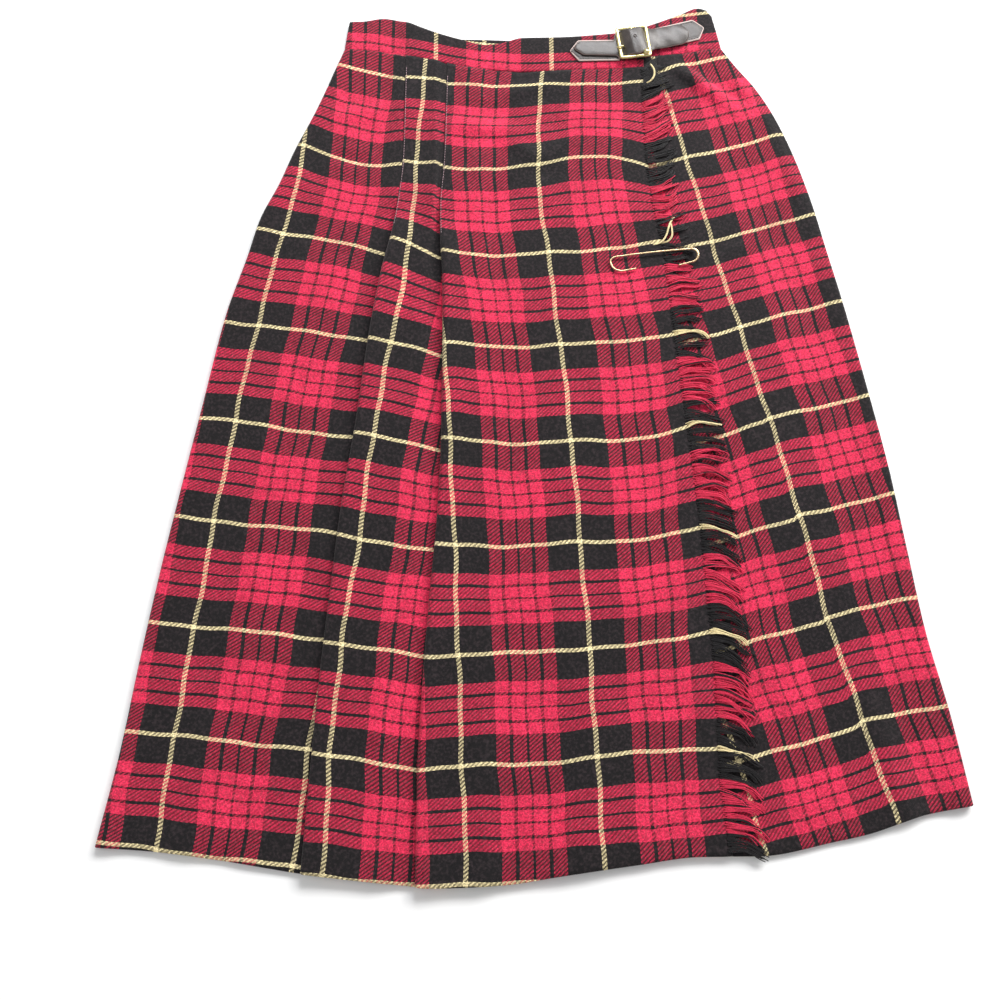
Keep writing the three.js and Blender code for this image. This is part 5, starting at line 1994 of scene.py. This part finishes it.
    def build(self) -> None:
        """Makes every piece of the fastening."""
        kit = self.wardrobe
        for name, mesh, material, slot, node in (
            ("tab_left_leather", self.tab(LEFT_TAB, "tab_left_leather"), kit.leather,
             "leather", "tab_left"),
            ("tab_right_leather", self.tab(RIGHT_TAB, "tab_right_leather"), kit.leather,
             "leather", "tab_right"),
            ("strap_leather", self.strap(), kit.strap, "leather", "strap"),
            # painted shade: the dark ring stands in for the shade in the punched hole
            ("strap_hole_shade", self.hole(), kit.dark_thread, "leather", None),
            ("buckle_brass", self.frame_ring(), kit.brass, "brass", "buckle_frame"),
            ("prong_brass", self.prong(), kit.brass, "brass", "buckle_prong"),
        ):
            attach(new_object(name, mesh, material), slot, node)


# ---- kilt pin ----


@dataclass
class KiltPin:
    """Brass pin through the over apron: bar, round end, point and clasp."""

    wardrobe: Wardrobe
    x: float = 75.0
    y: float = 134.0
    length: float = 72.0
    gap: float = 14.0
    wire: float = 1.6
    turn: float = math.radians(6.4)

    def base(self) -> float:
        """Gives the height of the pin's own frame above the surface below."""
        return layer_height(2) + CLOTH / 2 + SEAM + self.wire / 2 + 2.2

    def place(self, mesh: Mesh) -> Mesh:
        """Moves a mesh made in the pin's frame to where the pin is."""
        return moved(mesh, self.x, self.y, self.base(), self.turn)

    def build(self) -> None:
        """Makes the wire, the point and the clasp."""
        low, end = -self.gap, self.length
        bar = flowing([
            (16.5, low + 0.6, 0.1), (10, low + 0.0, 0.5), (3.5, low - 0.4, 0.6),
            (-2.2, low + 2.2, 0.7), (-4.6, low + 6.5, 0.8), (-4.6, low + 11, 0.9),
            (-1.5, low + 13.4, 0.9), (6, 0, 0.9),
            (end * 0.5, 0.6, 0.9), (end - 5.6, 0.2, 0.9)], 90)
        wire = tube("pin_bar", bar, np.full(len(bar), self.wire / 2), 12)
        point_line = flowing([(end - 16, low - 0.2, 0.2), (end - 10, low + 0.5, 0.4),
                              (end - 3.4, low + 1.6, 0.6)], 14)
        point = tube("pin_tip", point_line, np.linspace(0.7, 0.8, 14), 12)
        hook = flowing([
            (end - 6, 0.0, 0.6), (end - 2.4, 0.2, 0.6),
            (end + 1.2, -1.6, 0.6), (end + 2.4, -5.0, 0.6),
            (end + 1.6, -8.6, 0.6), (end - 0.8, -11.4, 0.6),
            (end - 3.6, -12.6, 0.6)], 48)
        radii = 1.15 - 0.25 * np.cos(np.linspace(0, 2 * math.pi, len(hook)))
        clasp = tube("pin_hook", hook, radii, 14)
        for name, mesh, node in (("pin_wire_brass", wire, "pin_wire"),
                                 ("pin_point_brass", point, "pin_point"),
                                 ("pin_clasp_brass", clasp, "pin_clasp")):
            attach(new_object(name, self.place(mesh), self.wardrobe.pin), "brass", node)


# ---- sewing ----


@dataclass
class Sewing:
    """Runs of thread that hold the pleats down and the tabs on."""

    wardrobe: Wardrobe
    pleat_run: tuple[float, float] = (0.02, 0.243)  # shares down between which pleats are sewn

    def pleat_lines(self) -> list[Array]:
        """Gives the two lines of stitches beside the folded edges, down to their release."""
        lines = []
        down = np.linspace(*self.pleat_run, 90)
        for name, inset in (("pleat_a", 0.5), ("pleat_b", 0.6)):
            x = edge(name, down) + inset
            y = drop(getattr(EDGES[0], name) + inset, getattr(EDGES[-1], name) + inset, down)
            crest = along(PLEAT_CREST, "down", name, down)
            z = layer_height(3) + crest + lift(x, y) + CLOTH / 2
            lines.append(np.stack([x, y, z], axis=1))
        return lines

    def tab_lines(self) -> list[Array]:
        """Gives the lines of stitches that sew the tabs to the waistband."""
        lines = []
        for x, y, z, turn in (LEFT_TAB, RIGHT_TAB):
            outline = np.array([(6, 9.1), (36.6, 9.1), (43.4, 0), (36.6, -9.1), (6, -9.1)])
            c, s = math.cos(turn), math.sin(turn)
            for a, b in zip(outline, outline[1:]):
                run = np.stack([mix(a[i], b[i], np.linspace(0, 1, 12)) for i in (0, 1)], axis=1)
                lines.append(np.stack([x + run[:, 0] * c - run[:, 1] * s,
                                       y + run[:, 0] * s + run[:, 1] * c,
                                       np.full(12, z + TAB_THICK)], axis=1))
        return lines

    def build(self) -> None:
        """Sews every run."""
        tool = stitch_tool()
        runs = (
            ("pleat_stitches", self.pleat_lines(), self.wardrobe.pale_thread, "yarn", 2.6, 2.1, 0.20),
            ("tab_stitches", self.tab_lines(), self.wardrobe.dark_thread, "leather", 2.4, 1.7, 0.24),
        )
        for name, lines, material, slot, spacing, length, radius in runs:
            piece = tool.run(guide_lines(name + "_lines", lines), name, material,
                             spacing=spacing * MM, length=length * MM, radius=radius * MM)
            attach(piece, slot)


# ---- studio ----


class Lamp(NamedTuple):
    """A soft square light: where it is, what it looks at, its size and its power."""

    name: str
    at: tuple[float, float, float]
    size: float
    power: float
    colour: Colour


@dataclass
class Studio:
    """Pale floor, soft light and the camera above the skirt."""

    tilt: float = 15.0  # degrees between the view and straight down
    foot: tuple[float, float] = (-28.5, -327.5)
    height: float = 887.4
    focal: float = 1.077  # focal length in widths of the picture
    lamps: tuple[Lamp, ...] = (
        Lamp("key", (1.9, 2.1, 1.8), 1.6, 115.0, (1.0, 0.985, 0.96)),
        Lamp("window", (0.35, 1.9, 1.7), 0.9, 42.0, (0.97, 0.98, 1.0)),
        Lamp("fill", (-1.3, -0.3, 1.5), 1.6, 5.0, (0.94, 0.97, 1.0)),
    )
    sky: float = 0.47
    floor_half: float = 6000.0
    floor_drop: float = 0.2  # how far the floor lies below the skirt's underside

    def build(self) -> None:
        """Makes the floor, the lamps, the sky and the camera."""
        self.floor()
        for lamp in self.lamps:
            light = bpy.data.lights.new(lamp.name, "AREA")
            light.size = lamp.size
            light.energy = lamp.power
            light.color = lamp.colour
            thing = bpy.data.objects.new(lamp.name, light)
            bpy.context.scene.collection.objects.link(thing)
            thing.location = lamp.at
            thing.rotation_euler = (-Vector(lamp.at)).to_track_quat("-Z", "Y").to_euler()
        world = bpy.data.worlds.new("studio_sky")
        world.use_nodes = True
        background = world.node_tree.nodes["Background"]
        background.inputs["Color"].default_value = (1.0, 1.0, 1.0, 1.0)
        background.inputs["Strength"].default_value = self.sky
        bpy.context.scene.world = world
        bpy.context.scene.view_settings.view_transform = "Standard"
        self.camera()

    def floor(self) -> None:
        """Makes the plain pale surface that the skirt lies on."""
        size, z = self.floor_half, -self.floor_drop
        corners = np.array([(-size, -size, z), (size, -size, z), (size, size, z),
                            (-size, size, z)])
        material, graph, shader = new_material("pale_surface")
        tone = graph.uneven(graph.place(), 90.0, 3.0, 0.90, 0.93)
        graph.fill(shader, {"Base Color": graph.grey(tone), "Roughness": 0.9})
        floor = new_object("floor", new_mesh("floor", corners, [(0, 1, 2, 3)], False), material)

    def camera(self) -> None:
        """Makes the camera and gives it to the scene."""
        data = bpy.data.cameras.new("camera")
        data.sensor_width = 36.0
        data.lens = self.focal * data.sensor_width
        data.clip_end = 50.0
        camera = bpy.data.objects.new("camera", data)
        bpy.context.scene.collection.objects.link(camera)
        camera.location = (self.foot[0] * MM, self.foot[1] * MM, self.height * MM)
        camera.rotation_euler = (math.radians(self.tilt), 0.0, 0.0)
        bpy.context.scene.camera = camera


def main() -> None:
    """Builds the skirt piece by piece around its solids."""
    logging.basicConfig(level=logging.INFO, format="%(name)s %(message)s")
    wardrobe = Wardrobe()
    Studio().build()
    Cloth(wardrobe).build()
    Waistband(wardrobe).build()
    Fringe(wardrobe).build()
    Fastening(wardrobe).build()
    KiltPin(wardrobe).build()
    Sewing(wardrobe).build()
    bpy.context.view_layer.update()


if __name__ == "__main__":
    main()
